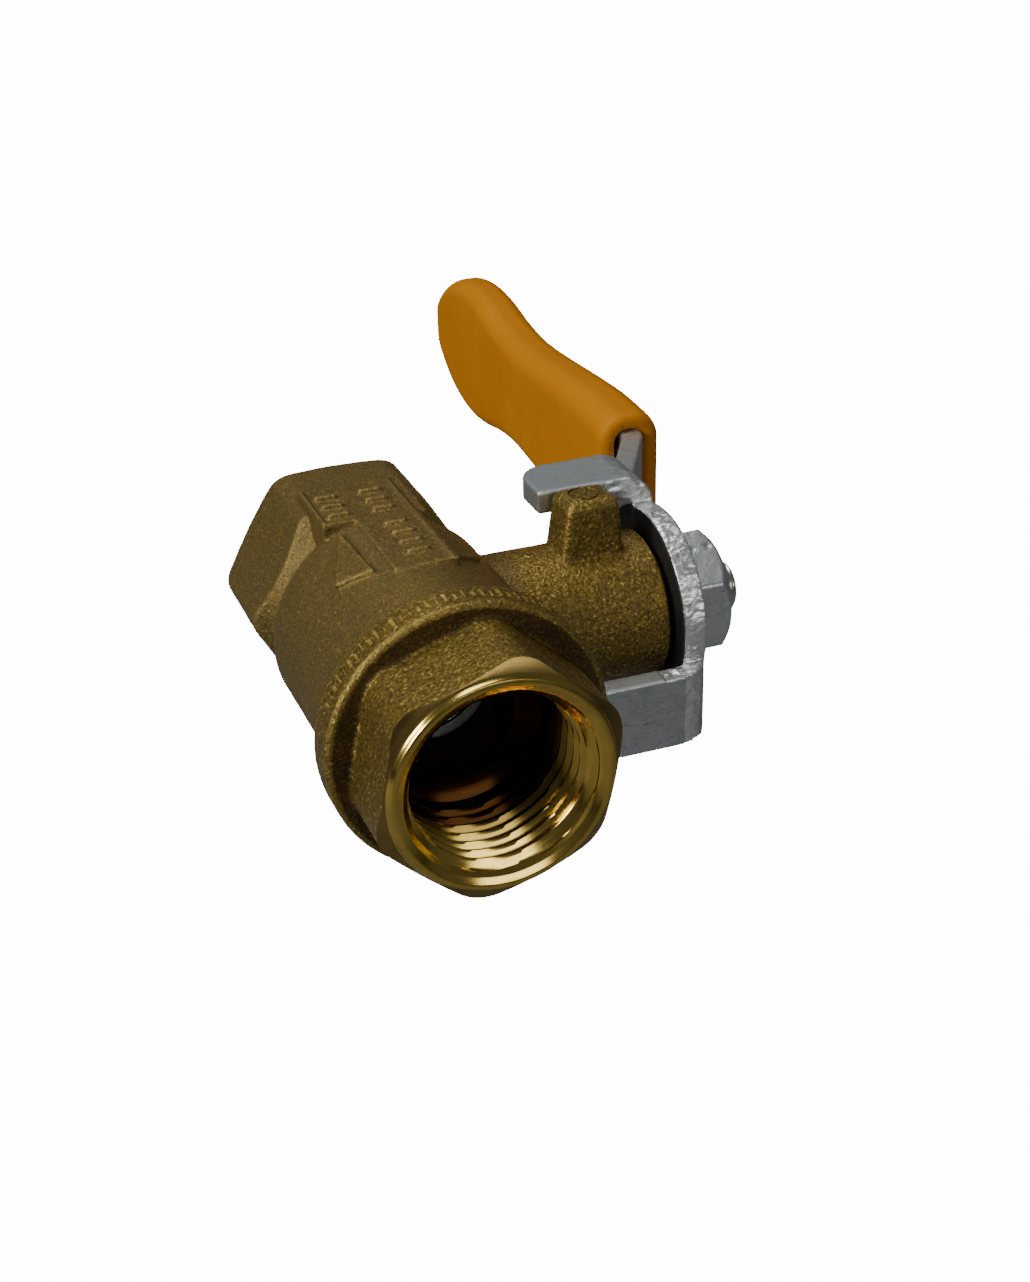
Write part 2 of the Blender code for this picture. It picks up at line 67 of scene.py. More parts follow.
body_low, body_high = cad_box("valve_body")
cap_low, cap_high = cad_box("end_cap")
stem_low, stem_high = cad_box("stem")
nut_low, nut_high = cad_box("lever_nut")
grip_low, grip_high = cad_box("lever_grip")
ball_high = cad_box("ball")[1]
seat_high = cad_box("seat_ring_rear")[1]
washer_low, washer_high = cad_box("stem_washer")

FRONT_FACE = cap_low.y            # near port face
REAR_FACE = body_high.y           # far port face
MOUTH = body_low.y                # where the cap meets the body
FLANGE_R = cap_high.x
NECK_END = body_high.x
LUG_TOP = body_high.z
BALL_R = ball_high.x
HEX_ACROSS = 20.0                 # both wrench hexagons, across flats
BARREL_R = 10.7
NECK_R = 7.0
NECK_BORE_R = 4.9                 # pocket for the stem's shoulder
THREAD_MINOR_R = 7.475            # G 3/8 female thread
THREAD_DEPTH = 0.86
THREAD_PITCH = 1.337
THREAD_LENGTH = 11.0
BORE_R = 5.0                      # waterway
FACE_RING_R = 9.65                # outside of the turned bead round a port
CONE_DEPTH = 1.95                 # turned cone over the cap's hexagon corners
REAR_CONE_DEPTH = 1.75
FLANGE_T = 3.55
CAP_HEX_TURN = 78.8               # degrees from the stem to the cap's first corner
TICKS = 30                        # plain marks round the cap's band
TICK_FIRST, TICK_STEP = 38, 3.6   # degrees from straight up
SEAL_PLACES = (15.0, 19.0)        # along the stem
SEAL_MID_R, SEAL_R = 3.0, 0.5
STEM_R = 3.5
STEM_SHOULDER_R = 4.6
NUT_ACROSS = 11.0
NUT_PITS = 16
GAP = 0.3                         # left between touching pieces
SMOOTHING = 0.6                   # share of the way that a point moves to its neighbours

# ------------------------------------------------------------------ viewing camera
AZIMUTH, ELEVATION, ROLL = (math.radians(a) for a in (-20.503, 27.677, -1.521))
CAMERA_PLACE = Vector((-47.148, -154.679, 85.129))
camera_data = bpy.data.cameras.new("viewing_camera")
camera_data.sensor_fit = "HORIZONTAL"
camera_data.sensor_width = 36.0
camera_data.lens = 71.03
camera = bpy.data.objects.new("viewing_camera", camera_data)
COLLECTION.objects.link(camera)
back = Vector((math.sin(AZIMUTH) * math.cos(ELEVATION),
               -math.cos(AZIMUTH) * math.cos(ELEVATION), math.sin(ELEVATION)))
level = Vector((math.cos(AZIMUTH), math.sin(AZIMUTH), 0.0))
upright = back.cross(level)
right = level * math.cos(ROLL) + upright * math.sin(ROLL)
up = upright * math.cos(ROLL) - level * math.sin(ROLL)
turn = Matrix((right, up, back)).transposed().to_4x4()
camera.matrix_world = Matrix.Translation(CENTRE + CAMERA_PLACE * MM) @ turn
bpy.context.scene.camera = camera


# ------------------------------------------------------------------ shape helpers
def placed(name, mesh):
    """Put a mesh in the scene as a new object."""
    obj = bpy.data.objects.new(name, mesh)
    COLLECTION.objects.link(obj)
    return obj


def mesh_object(name, verts, faces):
    """Object made of points and faces, with every face pointing out."""
    mesh = bpy.data.meshes.new(name)
    mesh.from_pydata([tuple(v) for v in verts], [], [tuple(f) for f in faces])
    bm = bmesh.new()
    bm.from_mesh(mesh)
    bmesh.ops.recalc_face_normals(bm, faces=bm.faces)
    bm.to_mesh(mesh)
    bm.free()
    return placed(name, mesh)


def skin(name, rings, loop=False):
    """Skin rings of points into a closed solid; open ends close on a centre point."""
    rings = np.asarray(rings, float)
    n, m, _ = rings.shape
    verts = list(rings.reshape(-1, 3))
    faces = []
    for i in range(n if loop else n - 1):
        k = (i + 1) % n
        for j in range(m):
            q = (j + 1) % m
            faces.append((i * m + j, i * m + q, k * m + q, k * m + j))
    if not loop:
        for ring, start in ((rings[0], 0), (rings[-1], (n - 1) * m)):
            verts.append(ring.mean(0))
            for j in range(m):
                faces.append((len(verts) - 1, start + j, start + (j + 1) % m))
    return mesh_object(name, verts, faces)


def turned(name, profile, axis="Y", steps=160, loop=False):
    """Turn (radius, position) points about an axis; a radius may vary round the turn."""
    angle = np.arange(steps) * 2 * math.pi / steps
    rings = []
    for r, s in profile:
        r = np.maximum(np.broadcast_to(np.asarray(r, float), (steps,)), 1e-4)
        s = np.broadcast_to(np.asarray(s, float), (steps,))
        flat = (r * np.cos(angle), r * np.sin(angle))
        rings.append(np.stack((flat[0], s, flat[1]) if axis == "Y" else (s, flat[0], flat[1]),
                              -1))
    return skin(name, rings, loop)


def prism(name, outline, low, high, to_point):
    """Extrude a flat outline between two heights."""
    rings = [[to_point(u, v, h) for u, v in outline] for h in (low, high)]
    verts = [p for ring in rings for p in ring]
    n = len(outline)
    faces = [tuple(range(n)), tuple(range(2 * n - 1, n - 1, -1))]
    faces += [(j, n + j, n + (j + 1) % n, (j + 1) % n) for j in range(n)]
    return mesh_object(name, verts, faces)


def hex_outline(across, corner_r, turn_deg, steps=6):
    """Hexagon with rounded corners; the first corner stands at turn_deg."""
    inner = (across / 2 - corner_r) / math.cos(math.radians(30))
    points = []
    for k in range(6):
        a = math.radians(turn_deg + 60 * k)
        for t in np.radians(np.linspace(-30, 30, steps + 1)):
            points.append((inner * math.cos(a) + corner_r * math.cos(a + t),
                           inner * math.sin(a) + corner_r * math.sin(a + t)))
    return points


def pipe_prism(name, outline, y0, y1):
    """Extrude an outline along the pipe."""
    return prism(name, outline, y0, y1, lambda u, v, h: (u, h, v))


def stem_prism(name, outline, x0, x1):
    """Extrude an outline along the stem."""
    return prism(name, outline, x0, x1, lambda u, v, h: (h, u, v))


def block(name, low, high, taper=0.0):
    """Box whose top is drawn in by a taper on every side."""
    (x0, y0, z0), (x1, y1, z1) = low, high
    outline = [(x0, y0), (x1, y0), (x1, y1), (x0, y1)]
    verts = [(x, y, z0) for x, y in outline]
    verts += [(x + (taper if x == x0 else -taper), y + (taper if y == y0 else -taper), z1)
              for x, y in outline]
    faces = [(0, 1, 2, 3), (4, 5, 6, 7)] + [(j, (j + 1) % 4, 4 + (j + 1) % 4, 4 + j)
                                           for j in range(4)]
    return mesh_object(name, verts, faces)


def hull(name, points):
    """Convex solid round a set of points."""
    bm = bmesh.new()
    for p in points:
        bm.verts.new(p)
    bmesh.ops.convex_hull(bm, input=bm.verts)
    mesh = bpy.data.meshes.new(name)
    bm.to_mesh(mesh)
    bm.free()
    return placed(name, mesh)


def settle(obj):
    """Make the modifiers of a shape permanent."""
    graph = bpy.context.evaluated_depsgraph_get()
    mesh = bpy.data.meshes.new_from_object(obj.evaluated_get(graph))
    obj.modifiers.clear()
    obj.data = mesh
    return obj


def combine(obj, others, operation="UNION", solver="MANIFOLD"):
    """Join or cut with other shapes, which are used up."""
    for other in others:
        mod = obj.modifiers.new("combine", "BOOLEAN")
        mod.operation = operation
        mod.solver = solver
        mod.object = other
        settle(obj)
        bpy.data.objects.remove(other, do_unlink=True)
    return obj


def bevelled(obj, width, segments=2, angle=40):
    """Round the sharp edges of a shape."""
    mod = obj.modifiers.new("edge", "BEVEL")
    mod.width = width
    mod.segments = segments
    mod.limit_method = "ANGLE"
    mod.angle_limit = math.radians(angle)
    return settle(obj)


def points_of(obj):
    co = np.empty(len(obj.data.vertices) * 3, np.float32)
    obj.data.vertices.foreach_get("co", co)
    return co.reshape(-1, 3).astype(float)


def normals_of(obj):
    n = np.empty(len(obj.data.vertices) * 3, np.float32)
    obj.data.vertices.foreach_get("normal", n)
    return n.reshape(-1, 3).astype(float)


def set_points(obj, co):
    obj.data.vertices.foreach_set("co", co.astype(np.float32).ravel())
    obj.data.update()


def neighbours(obj):
    """Both ends of every edge, and the number of neighbours of each point."""
    edges = np.empty(len(obj.data.edges) * 2, np.int32)
    obj.data.edges.foreach_get("vertices", edges)
    edges = edges.reshape(-1, 2)
    a = np.concatenate((edges[:, 0], edges[:, 1]))
    b = np.concatenate((edges[:, 1], edges[:, 0]))
    count = np.maximum(np.bincount(a, minlength=len(obj.data.vertices)), 1)
    return a, b, count


def averaged(values, a, b, count):
    """Mean of the neighbours' values at each point."""
    if values.ndim == 1:
        return np.bincount(a, values[b], len(count)) / count
    return np.stack([np.bincount(a, values[b, k], len(count)) for k in range(3)], -1) \
        / count[:, None]


def forged(obj, voxel, rounds):
    """Give a shape the soft edges of a forging."""
    mod = obj.modifiers.new("skin", "REMESH")
    mod.mode = "VOXEL"
    mod.voxel_size = voxel
    settle(obj)
    a, b, count = neighbours(obj)
    co = points_of(obj)
    for _ in range(rounds):
        co = co + SMOOTHING * (averaged(co, a, b, count) - co)
    set_points(obj, co)


def store(obj, name, values):
    """Keep a value at each point, for the materials to read."""
    attribute = obj.data.attributes.new(name, "FLOAT", "POINT")
    attribute.data.foreach_set("value", np.asarray(values, np.float32))


def mark_edges(obj, gain, rounds=3):
    """Store how convex the surface is, from 0 on flats and hollows to 1 on sharp edges."""
    a, b, count = neighbours(obj)
    co, n = points_of(obj), normals_of(obj)
    proud = ((co - averaged(co, a, b, count)) * n).sum(1)
    for _ in range(rounds):
        proud = averaged(proud, a, b, count)
    store(obj, "edge", np.clip(proud * gain, 0, 1))


def rough_noise(co, scale, octaves=3):
    """Smooth noise from -1 to 1 at each point."""
    out = np.empty(len(co))
    for i, p in enumerate(co * scale):
        out[i] = noise.fractal(Vector(p), 1.0, 2.0, octaves)
    return out


def thread_radius(minor, depth, pitch, s, angle, hand=1):
    """Radius of a flat-topped V thread at a place along and round its axis."""
    phase = (s / pitch + hand * angle / (2 * math.pi)) % 1.0
    climb = 1 - np.abs(2 * phase - 1)
    return minor + depth * np.clip((climb - 0.1) / 0.78, 0, 1)


def face_data(obj):
    """Centres and normals of a shape's faces."""
    mesh = obj.data
    centres = np.empty(len(mesh.polygons) * 3, np.float32)
    normals = np.empty(len(mesh.polygons) * 3, np.float32)
    mesh.polygons.foreach_get("center", centres)
    mesh.polygons.foreach_get("normal", normals)
    return centres.reshape(-1, 3), normals.reshape(-1, 3)


def finish_piece(obj, body, nodes, materials, sharp=None, numbered=None):
    """Set a finished piece in its place; numbered gives each face's material number."""
    chosen = numbered(obj) if numbered else np.zeros(len(obj.data.polygons))
    obj.data.transform(Matrix.Scale(MM, 4))
    obj.location = CENTRE
    obj.data.materials.clear()
    for mat in materials:
        obj.data.materials.append(mat)
    obj.data.polygons.foreach_set("material_index", np.asarray(chosen, np.int32))
    obj.data.shade_smooth()
    if sharp:
        obj.data.set_sharp_from_angle(angle=math.radians(sharp))
    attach(obj, body)
    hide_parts(*nodes)


# ------------------------------------------------------------------ surface effects
def feed(tree, socket, value):
    """Connect a socket to another, or give it a constant."""
    if isinstance(value, bpy.types.NodeSocket):
        tree.links.new(value, socket)
    else:
        socket.default_value = value


def add(tree, kind, values=None, **props):
    """Add a shader node; values set or connect its inputs."""
    node = tree.nodes.new("ShaderNode" + kind)
    for key, value in props.items():
        setattr(node, key, value)
    for key, value in (values or {}).items():
        feed(tree, node.inputs[key], value)
    return node


def effect(name, inputs, outputs):
    """Start a node group; returns its tree, its inputs and a function that fills outputs."""
    tree = bpy.data.node_groups.new(name, "ShaderNodeTree")
    for label, kind, default in inputs:
        socket = tree.interface.new_socket(label, in_out="INPUT", socket_type="NodeSocket" + kind)
        socket.default_value = default
    for label, kind in outputs:
        tree.interface.new_socket(label, in_out="OUTPUT", socket_type="NodeSocket" + kind)
    given = tree.nodes.new("NodeGroupInput").outputs
    taken = tree.nodes.new("NodeGroupOutput").inputs

    def give(**values):
        for label, socket in values.items():
            tree.links.new(socket, taken[label])
    return tree, given, give


def millimetres(tree):
    """Place on the piece in millimetres."""
    place = add(tree, "TexCoord")
    return add(tree, "VectorMath", {0: place.outputs["Object"], "Scale": 1 / MM},
               operation="SCALE").outputs[0]


def blend_colour(tree, factor, first, second):
    return add(tree, "Mix", {0: factor, 6: first, 7: second}, data_type="RGBA").outputs[2]


def ramp(tree, value, low, high):
    """0 below low, 1 above high and even between them."""
    return add(tree, "MapRange", {"Value": value, "From Min": low, "From Max": high}).outputs[0]


def maths(tree, operation, first, second=0.0):
    return add(tree, "Math", {0: first, 1: second}, operation=operation).outputs[0]


def axis_radius(tree, parts):
    """Distance from the pipe's axis."""
    across, up = (maths(tree, "MULTIPLY", parts[k], parts[k]) for k in ("X", "Z"))
    return maths(tree, "SQRT", maths(tree, "ADD", across, up))


def build_tarnish():
    """Cloudy dull patches."""
    tree, given, give = effect(
        "tarnish", [("Color", "Color", (0.4, 0.28, 0.1, 1)),
                    ("Dull Color", "Color", (0.2, 0.13, 0.05, 1)), ("Size", "Float", 0.25),
                    ("Amount", "Float", 0.6), ("Roughness", "Float", 0.4)],
        [("Color", "Color"), ("Roughness", "Float")])
    place = add(tree, "VectorMath", {0: millimetres(tree), "Scale": given["Size"]},
                operation="SCALE").outputs[0]
    clouds = add(tree, "TexNoise", {"Vector": place, "Scale": 1.0, "Detail": 6.0,
                                    "Roughness": 0.62, "Distortion": 0.3}).outputs["Fac"]
    share = maths(tree, "MULTIPLY", ramp(tree, clouds, 0.36, 0.66), given["Amount"])
    colour = blend_colour(tree, share, given["Color"], given["Dull Color"])
    rough = maths(tree, "ADD", given["Roughness"], maths(tree, "MULTIPLY", share, 0.12))
    give(Color=colour, Roughness=rough)
    return tree


def build_blast_grain():
    """Tiny dark grains left by sand blasting, and bright grains painted in as glints."""
    tree, given, give = effect(
        "blast_grain", [("Color", "Color", (0.4, 0.28, 0.1, 1)),
                        ("Glint Color", "Color", (0.9, 0.7, 0.3, 1)), ("Size", "Float", 5.0),
                        ("Glint Share", "Float", 0.25), ("Dark Share", "Float", 0.5)],
        [("Color", "Color"), ("Height", "Float")])
    place = millimetres(tree)
    fine = add(tree, "TexNoise", {"Vector": place, "Scale": given["Size"], "Detail": 3.0,
                                  "Roughness": 0.6}).outputs["Fac"]
    coarse = add(tree, "TexNoise", {"Vector": place, "Scale": maths(
        tree, "MULTIPLY", given["Size"], 0.37), "Detail": 4.0, "Roughness": 0.7}).outputs["Fac"]
    dark = maths(tree, "MULTIPLY", ramp(tree, fine, 0.52, 0.36), given["Dark Share"])
    colour = blend_colour(tree, dark, given["Color"], (0.02, 0.013, 0.004, 1))
    # bright grains: painted glints that stand in for light catching the blasted facets
    bright = maths(tree, "MULTIPLY", ramp(tree, fine, 0.6, 0.72), given["Glint Share"])
    colour = blend_colour(tree, bright, colour, given["Glint Color"])
    height = maths(tree, "ADD", fine, coarse)
    give(Color=colour, Height=height)
    return tree


def build_edge_wear():
    """Edges rubbed bright; the piece's edge value says how proud the surface stands."""
    tree, given, give = effect(
        "edge_wear", [("Color", "Color", (0.4, 0.28, 0.1, 1)),
                      ("Worn Color", "Color", (0.8, 0.6, 0.2, 1)), ("Roughness", "Float", 0.5),
                      ("Worn Roughness", "Float", 0.25), ("Amount", "Float", 0.8)],
        [("Color", "Color"), ("Roughness", "Float")])
    edge = add(tree, "Attribute", attribute_name="edge").outputs["Fac"]
    breaks = add(tree, "TexNoise", {"Vector": millimetres(tree), "Scale": 1.7, "Detail": 5.0,
                                    "Roughness": 0.7}).outputs["Fac"]
    broken = maths(tree, "MULTIPLY", edge, ramp(tree, breaks, 0.3, 0.6))
    share = add(tree, "Math", {0: broken, 1: given["Amount"]}, operation="MULTIPLY",
                use_clamp=True).outputs[0]
    colour = blend_colour(tree, share, given["Color"], given["Worn Color"])
    gap = maths(tree, "SUBTRACT", given["Worn Roughness"], given["Roughness"])
    rough = maths(tree, "ADD", given["Roughness"], maths(tree, "MULTIPLY", gap, share))
    give(Color=colour, Roughness=rough)
    return tree


def build_turning_marks():
    """Fine grooves that run round the pipe's axis."""
    tree, given, give = effect(
        "turning_marks", [("Pitch", "Float", 9.0), ("Least Roughness", "Float", 0.1)],
        [("Height", "Float"), ("Roughness", "Float")])
    parts = add(tree, "SeparateXYZ", {0: millimetres(tree)}).outputs
    radius = axis_radius(tree, parts)
    angle = maths(tree, "ARCTAN2", parts["X"], parts["Z"])
    place = add(tree, "CombineXYZ", {0: maths(tree, "MULTIPLY", radius, given["Pitch"]),
                                     1: maths(tree, "MULTIPLY", parts["Y"], given["Pitch"]),
                                     2: maths(tree, "MULTIPLY", angle, 0.5)}).outputs[0]
    grooves = add(tree, "TexNoise", {"Vector": place, "Scale": 1.0, "Detail": 2.0}).outputs["Fac"]
    rough = maths(tree, "ADD", given["Least Roughness"], maths(tree, "MULTIPLY", grooves, 0.16))
    give(Height=grooves, Roughness=rough)
    return tree


def build_zinc_plating():
    """Uneven zinc plating: cloudy patches, hairline scratches and small dark pits."""
    tree, given, give = effect(
        "zinc_plating", [("Color", "Color", (0.5, 0.53, 0.55, 1)),
                         ("Dark Color", "Color", (0.2, 0.22, 0.23, 1)),
                         ("Scratches", "Float", 0.5), ("Pits", "Float", 0.5),
                         ("Roughness", "Float", 0.35)],
        [("Color", "Color"), ("Roughness", "Float"), ("Height", "Float")])
    place = millimetres(tree)
    clouds = add(tree, "TexNoise", {"Vector": place, "Scale": 0.55, "Detail": 7.0,
                                    "Roughness": 0.65, "Distortion": 0.8}).outputs["Fac"]
    stretched = add(tree, "VectorMath", {0: place, 1: (0.5, 2.6, 3.2)}, operation="MULTIPLY")
    lines = add(tree, "TexNoise", {"Vector": stretched.outputs[0], "Scale": 1.6, "Detail": 3.0,
                                   "Distortion": 0.4}).outputs["Fac"]
    scratch = maths(tree, "MULTIPLY", ramp(tree, lines, 0.61, 0.68), given["Scratches"])
    cells = add(tree, "TexVoronoi", {"Vector": place, "Scale": 0.85}).outputs["Distance"]
    pit = maths(tree, "MULTIPLY", ramp(tree, cells, 0.13, 0.06), given["Pits"])
    mottled = maths(tree, "MULTIPLY", ramp(tree, clouds, 0.42, 0.7), 0.6)
    colour = blend_colour(tree, mottled, given["Color"], given["Dark Color"])
    colour = blend_colour(tree, maths(tree, "MAXIMUM", maths(tree, "MULTIPLY", scratch, 0.5), pit),
                          colour, (0.03, 0.032, 0.034, 1))
    rough = maths(tree, "ADD", given["Roughness"], maths(tree, "MULTIPLY", clouds, 0.2))
    fine = add(tree, "TexNoise", {"Vector": place, "Scale": 4.0, "Detail": 4.0}).outputs["Fac"]
    height = maths(tree, "SUBTRACT", maths(tree, "ADD", fine, clouds),
                   maths(tree, "ADD", scratch, pit))
    give(Color=colour, Roughness=rough, Height=height)
    return tree


def build_bore_shade():
    """Painted shade: the brass darkens to a dark brown from a port's mouth into the waterway."""
    tree, given, give = effect(
        "painted_bore_shade", [("Color", "Color", (0.86, 0.58, 0.13, 1)),
                        ("Shade Color", "Color", (0.028, 0.011, 0.003, 1)),
                        ("Lit Depth", "Float", 3.0), ("Dark Depth", "Float", 8.0)],
        [("Color", "Color")])
    parts = add(tree, "SeparateXYZ", {0: millimetres(tree)}).outputs
    middle = (REAR_FACE + FRONT_FACE) / 2
    from_middle = maths(tree, "ABSOLUTE", maths(tree, "SUBTRACT", parts["Y"], middle))
    depth = maths(tree, "SUBTRACT", (REAR_FACE - FRONT_FACE) / 2, from_middle)
    # painted shade that deepens with distance from the nearer port face, inside the bore only
    share = ramp(tree, depth, given["Lit Depth"], given["Dark Depth"])
    inside = ramp(tree, axis_radius(tree, parts), 10.0, 9.0)
    give(Color=blend_colour(tree, maths(tree, "MULTIPLY", share, inside), given["Color"],
                            given["Shade Color"]))
    return tree


TARNISH = build_tarnish()
BLAST_GRAIN = build_blast_grain()
EDGE_WEAR = build_edge_wear()
TURNING_MARKS = build_turning_marks()
ZINC_PLATING = build_zinc_plating()
BORE_SHADE = build_bore_shade()


def use(tree, group, values):
    """Place an effect in a material."""
    return add(tree, "Group", values, node_tree=group).outputs


def new_material(name, metallic, **constants):
    """Material with its tree and its Principled shader."""
    mat = bpy.data.materials.new(name)
    mat.use_nodes = True
    bsdf = mat.node_tree.nodes["Principled BSDF"]
    bsdf.inputs["Metallic"].default_value = metallic
    for key, value in constants.items():
        bsdf.inputs[key.replace("_", " ")].default_value = value
    return mat, mat.node_tree, bsdf


def dress(tree, bsdf, colour, rough, height, strength, distance):
    """Connect a material's colour, roughness and relief."""
    bump = add(tree, "Bump", {"Strength": strength, "Distance": distance * MM,
                              "Height": height})
    for label, value in (("Base Color", colour), ("Roughness", rough),
                         ("Normal", bump.outputs[0])):
        feed(tree, bsdf.inputs[label], value)


def blasted_brass(name, base, dull, bright, rough, grain_size, sparkle, relief):
    """Sand blasted forging: dull patches, dark grains, bright grains painted as glints, and rubbed
    edges.
    """
    mat, tree, bsdf = new_material(name, 0.65)
    tarnished = use(tree, TARNISH, {"Color": base, "Dull Color": dull, "Size": 0.22,
                                    "Amount": 0.75, "Roughness": rough})
    # bright colours both the painted glints and the rubbed edges
    grain = use(tree, BLAST_GRAIN, {"Color": tarnished["Color"], "Glint Color": bright,
                                    "Size": grain_size, "Glint Share": sparkle,
                                    "Dark Share": sparkle * 0.75})
    worn = use(tree, EDGE_WEAR, {"Color": grain["Color"], "Worn Color": bright,
                                 "Roughness": tarnished["Roughness"], "Worn Roughness": 0.3,
                                 "Amount": 0.9})
    dress(tree, bsdf, worn["Color"], worn["Roughness"], grain["Height"], 1.0, relief)
    return mat


def turned_brass(name, base, dull, pitch, rough):
    """Brass left bright by a cutting tool, with painted shade that darkens the bore."""
    mat, tree, bsdf = new_material(name, 1.0)
    marks = use(tree, TURNING_MARKS, {"Pitch": pitch, "Least Roughness": rough})
    tarnished = use(tree, TARNISH, {"Color": base, "Dull Color": dull, "Size": 0.35,
                                    "Amount": 0.5})
    # painted shade darkens the brass deeper in the bore
    bore_shaded = use(tree, BORE_SHADE, {"Color": tarnished["Color"]})
    dress(tree, bsdf, bore_shaded["Color"], marks["Roughness"], marks["Height"], 0.3, 0.012)
    return mat


def zinc_steel(name, base, dark, scratches, pits, rough, strength):
    """Plated metal with clouds, scratches, pits and worn edges."""
    mat, tree, bsdf = new_material(name, 0.9)
    plating = use(tree, ZINC_PLATING, {"Color": base, "Dark Color": dark,
                                       "Scratches": scratches, "Pits": pits,
                                       "Roughness": rough})
    worn = use(tree, EDGE_WEAR, {"Color": plating["Color"], "Worn Color": (0.75, 0.78, 0.8, 1),
                                 "Roughness": plating["Roughness"], "Worn Roughness": 0.25,
                                 "Amount": 0.6})
    dress(tree, bsdf, worn["Color"], worn["Roughness"], plating["Height"], strength, 0.05)
    return mat


def moulded(name, base, dull, rough, grain, strength, **constants):
    """Soft plastic, PTFE or rubber with a faint grain."""
    mat, tree, bsdf = new_material(name, 0.0, **constants)
    cloud = use(tree, TARNISH, {"Color": base, "Dull Color": dull, "Size": 0.12,
                                "Amount": 0.8, "Roughness": rough})
    fine = use(tree, BLAST_GRAIN, {"Size": grain})
    dress(tree, bsdf, cloud["Color"], cloud["Roughness"], fine["Height"], strength, 0.02)
    return mat


forged_brass_look = blasted_brass("forged_brass", (0.205, 0.138, 0.032, 1),
                                  (0.15, 0.105, 0.032, 1), (0.85, 0.6, 0.17, 1), 0.42, 4.6,
                                  0.5, 0.1)
neck_brass_look = blasted_brass("blasted_neck_brass", (0.26, 0.17, 0.028, 1),
                                (0.16, 0.105, 0.02, 1), (0.95, 0.68, 0.18, 1), 0.34, 3.3,
                                0.8, 0.14)
cap_brass_look = blasted_brass("blasted_cap_brass", (0.24, 0.158, 0.026, 1),
                               (0.145, 0.096, 0.018, 1), (0.95, 0.68, 0.18, 1), 0.34, 3.3,
                               0.8, 0.14)
# dark brass for the flange's front face beside the hexagon: painted shade
shaded_flange_brass_look = blasted_brass("painted_shade_flange_brass", (0.12, 0.072, 0.016, 1),
                                 (0.05, 0.03, 0.008, 1), (0.5, 0.33, 0.08, 1), 0.45, 3.3,
                                 0.7, 0.14)
turned_brass_look = turned_brass("turned_brass", (0.82, 0.58, 0.13, 1), (0.5, 0.33, 0.07, 1),
                                 5.0, 0.1)
rubbed_brass_look = turned_brass("rubbed_brass", (0.36, 0.25, 0.075, 1),
                                 (0.2, 0.135, 0.04, 1), 4.0, 0.24)
zinc_look = zinc_steel("zinc_plated_sheet", (0.62, 0.66, 0.65, 1), (0.4, 0.43, 0.43, 1),
                       0.5, 0.15, 0.32, 0.3)
nut_zinc_look = zinc_steel("zinc_plated_nut", (0.72, 0.76, 0.75, 1), (0.45, 0.48, 0.48, 1),
                           0.2, 0.9, 0.3, 0.4)
torn_zinc_look = zinc_steel("torn_zinc_edge", (0.95, 0.98, 0.95, 1), (0.5, 0.52, 0.52, 1),
                            0.6, 0.3, 0.26, 0.7)
# near black zinc for the plate's face beside the neck end: painted shade in the gap
shaded_zinc_look = zinc_steel("painted_shade_zinc_face", (0.06, 0.06, 0.06, 1), (0.02, 0.02, 0.02, 1),
                              0.3, 0.3, 0.5, 0.3)
nickel_look = zinc_steel("nickel_plated_stem", (0.7, 0.66, 0.58, 1), (0.45, 0.4, 0.33, 1),
                         0.2, 0.1, 0.12, 0.15)
chrome_look = zinc_steel("chromed_ball", (0.8, 0.81, 0.82, 1), (0.6, 0.61, 0.62, 1),
                         0.1, 0.0, 0.02, 0.03)
grip_look = moulded("orange_dipped_vinyl", (0.54, 0.198, 0.001, 1), (0.49, 0.165, 0.001, 1),
                    0.5, 3.0, 0.12, Specular_IOR_Level=0.15)
# darker, redder vinyl inside the pocket: painted shade in the recess
shaded_grip_inside_look = moulded("orange_vinyl_inside_painted_shade", (0.42, 0.09, 0.004, 1),
                           (0.3, 0.05, 0.003, 1), 0.5, 3.0, 0.2)
ptfe_look = moulded("white_ptfe", (0.86, 0.86, 0.83, 1), (0.78, 0.78, 0.75, 1), 0.4, 5.0, 0.1)
rubber_look = moulded("black_seal_rubber", (0.018, 0.018, 0.018, 1), (0.03, 0.03, 0.03, 1),
                      0.5, 5.0, 0.2)

# ------------------------------------------------------------------ bores and threads
FULL_TURN = 144
turn_angles = np.arange(FULL_TURN) * 2 * math.pi / FULL_TURN


def port_profile(face, inward):
    """Chamfer, screw thread and waterway shoulder of a port, from its face inwards."""
    bead = ((FACE_RING_R + 0.2, 0.62), (FACE_RING_R + 0.06, 0.45), (FACE_RING_R, 0.26),
            (FACE_RING_R - 0.1, 0.1), (FACE_RING_R - 0.3, 0.01), (9.15, 0.0), (8.98, 0.07),
            (8.86, 0.2))
    profile = [(r, face + inward * d) for r, d in bead]
    chamfer_r, chamfer_t = 8.8, 1.6
    for d in np.arange(0.3, THREAD_LENGTH, THREAD_PITCH / 12):
        thread = thread_radius(THREAD_MINOR_R, THREAD_DEPTH, THREAD_PITCH, d, turn_angles,
                               inward)
        run_out = np.clip((THREAD_LENGTH - d) / 1.6, 0, 1)
        thread = THREAD_MINOR_R + (thread - THREAD_MINOR_R) * run_out
        cone = chamfer_r - (chamfer_r - THREAD_MINOR_R + 0.1) * d / chamfer_t
        profile.append((np.maximum(thread, cone) if d < 2.2 else thread, face + inward * d))
    shoulder = ((THREAD_MINOR_R, 0), (6.3, 0.75), (BORE_R + 0.25, 0.95), (BORE_R, 1.25))
    return profile + [(r, face + inward * (THREAD_LENGTH + d)) for r, d in shoulder]


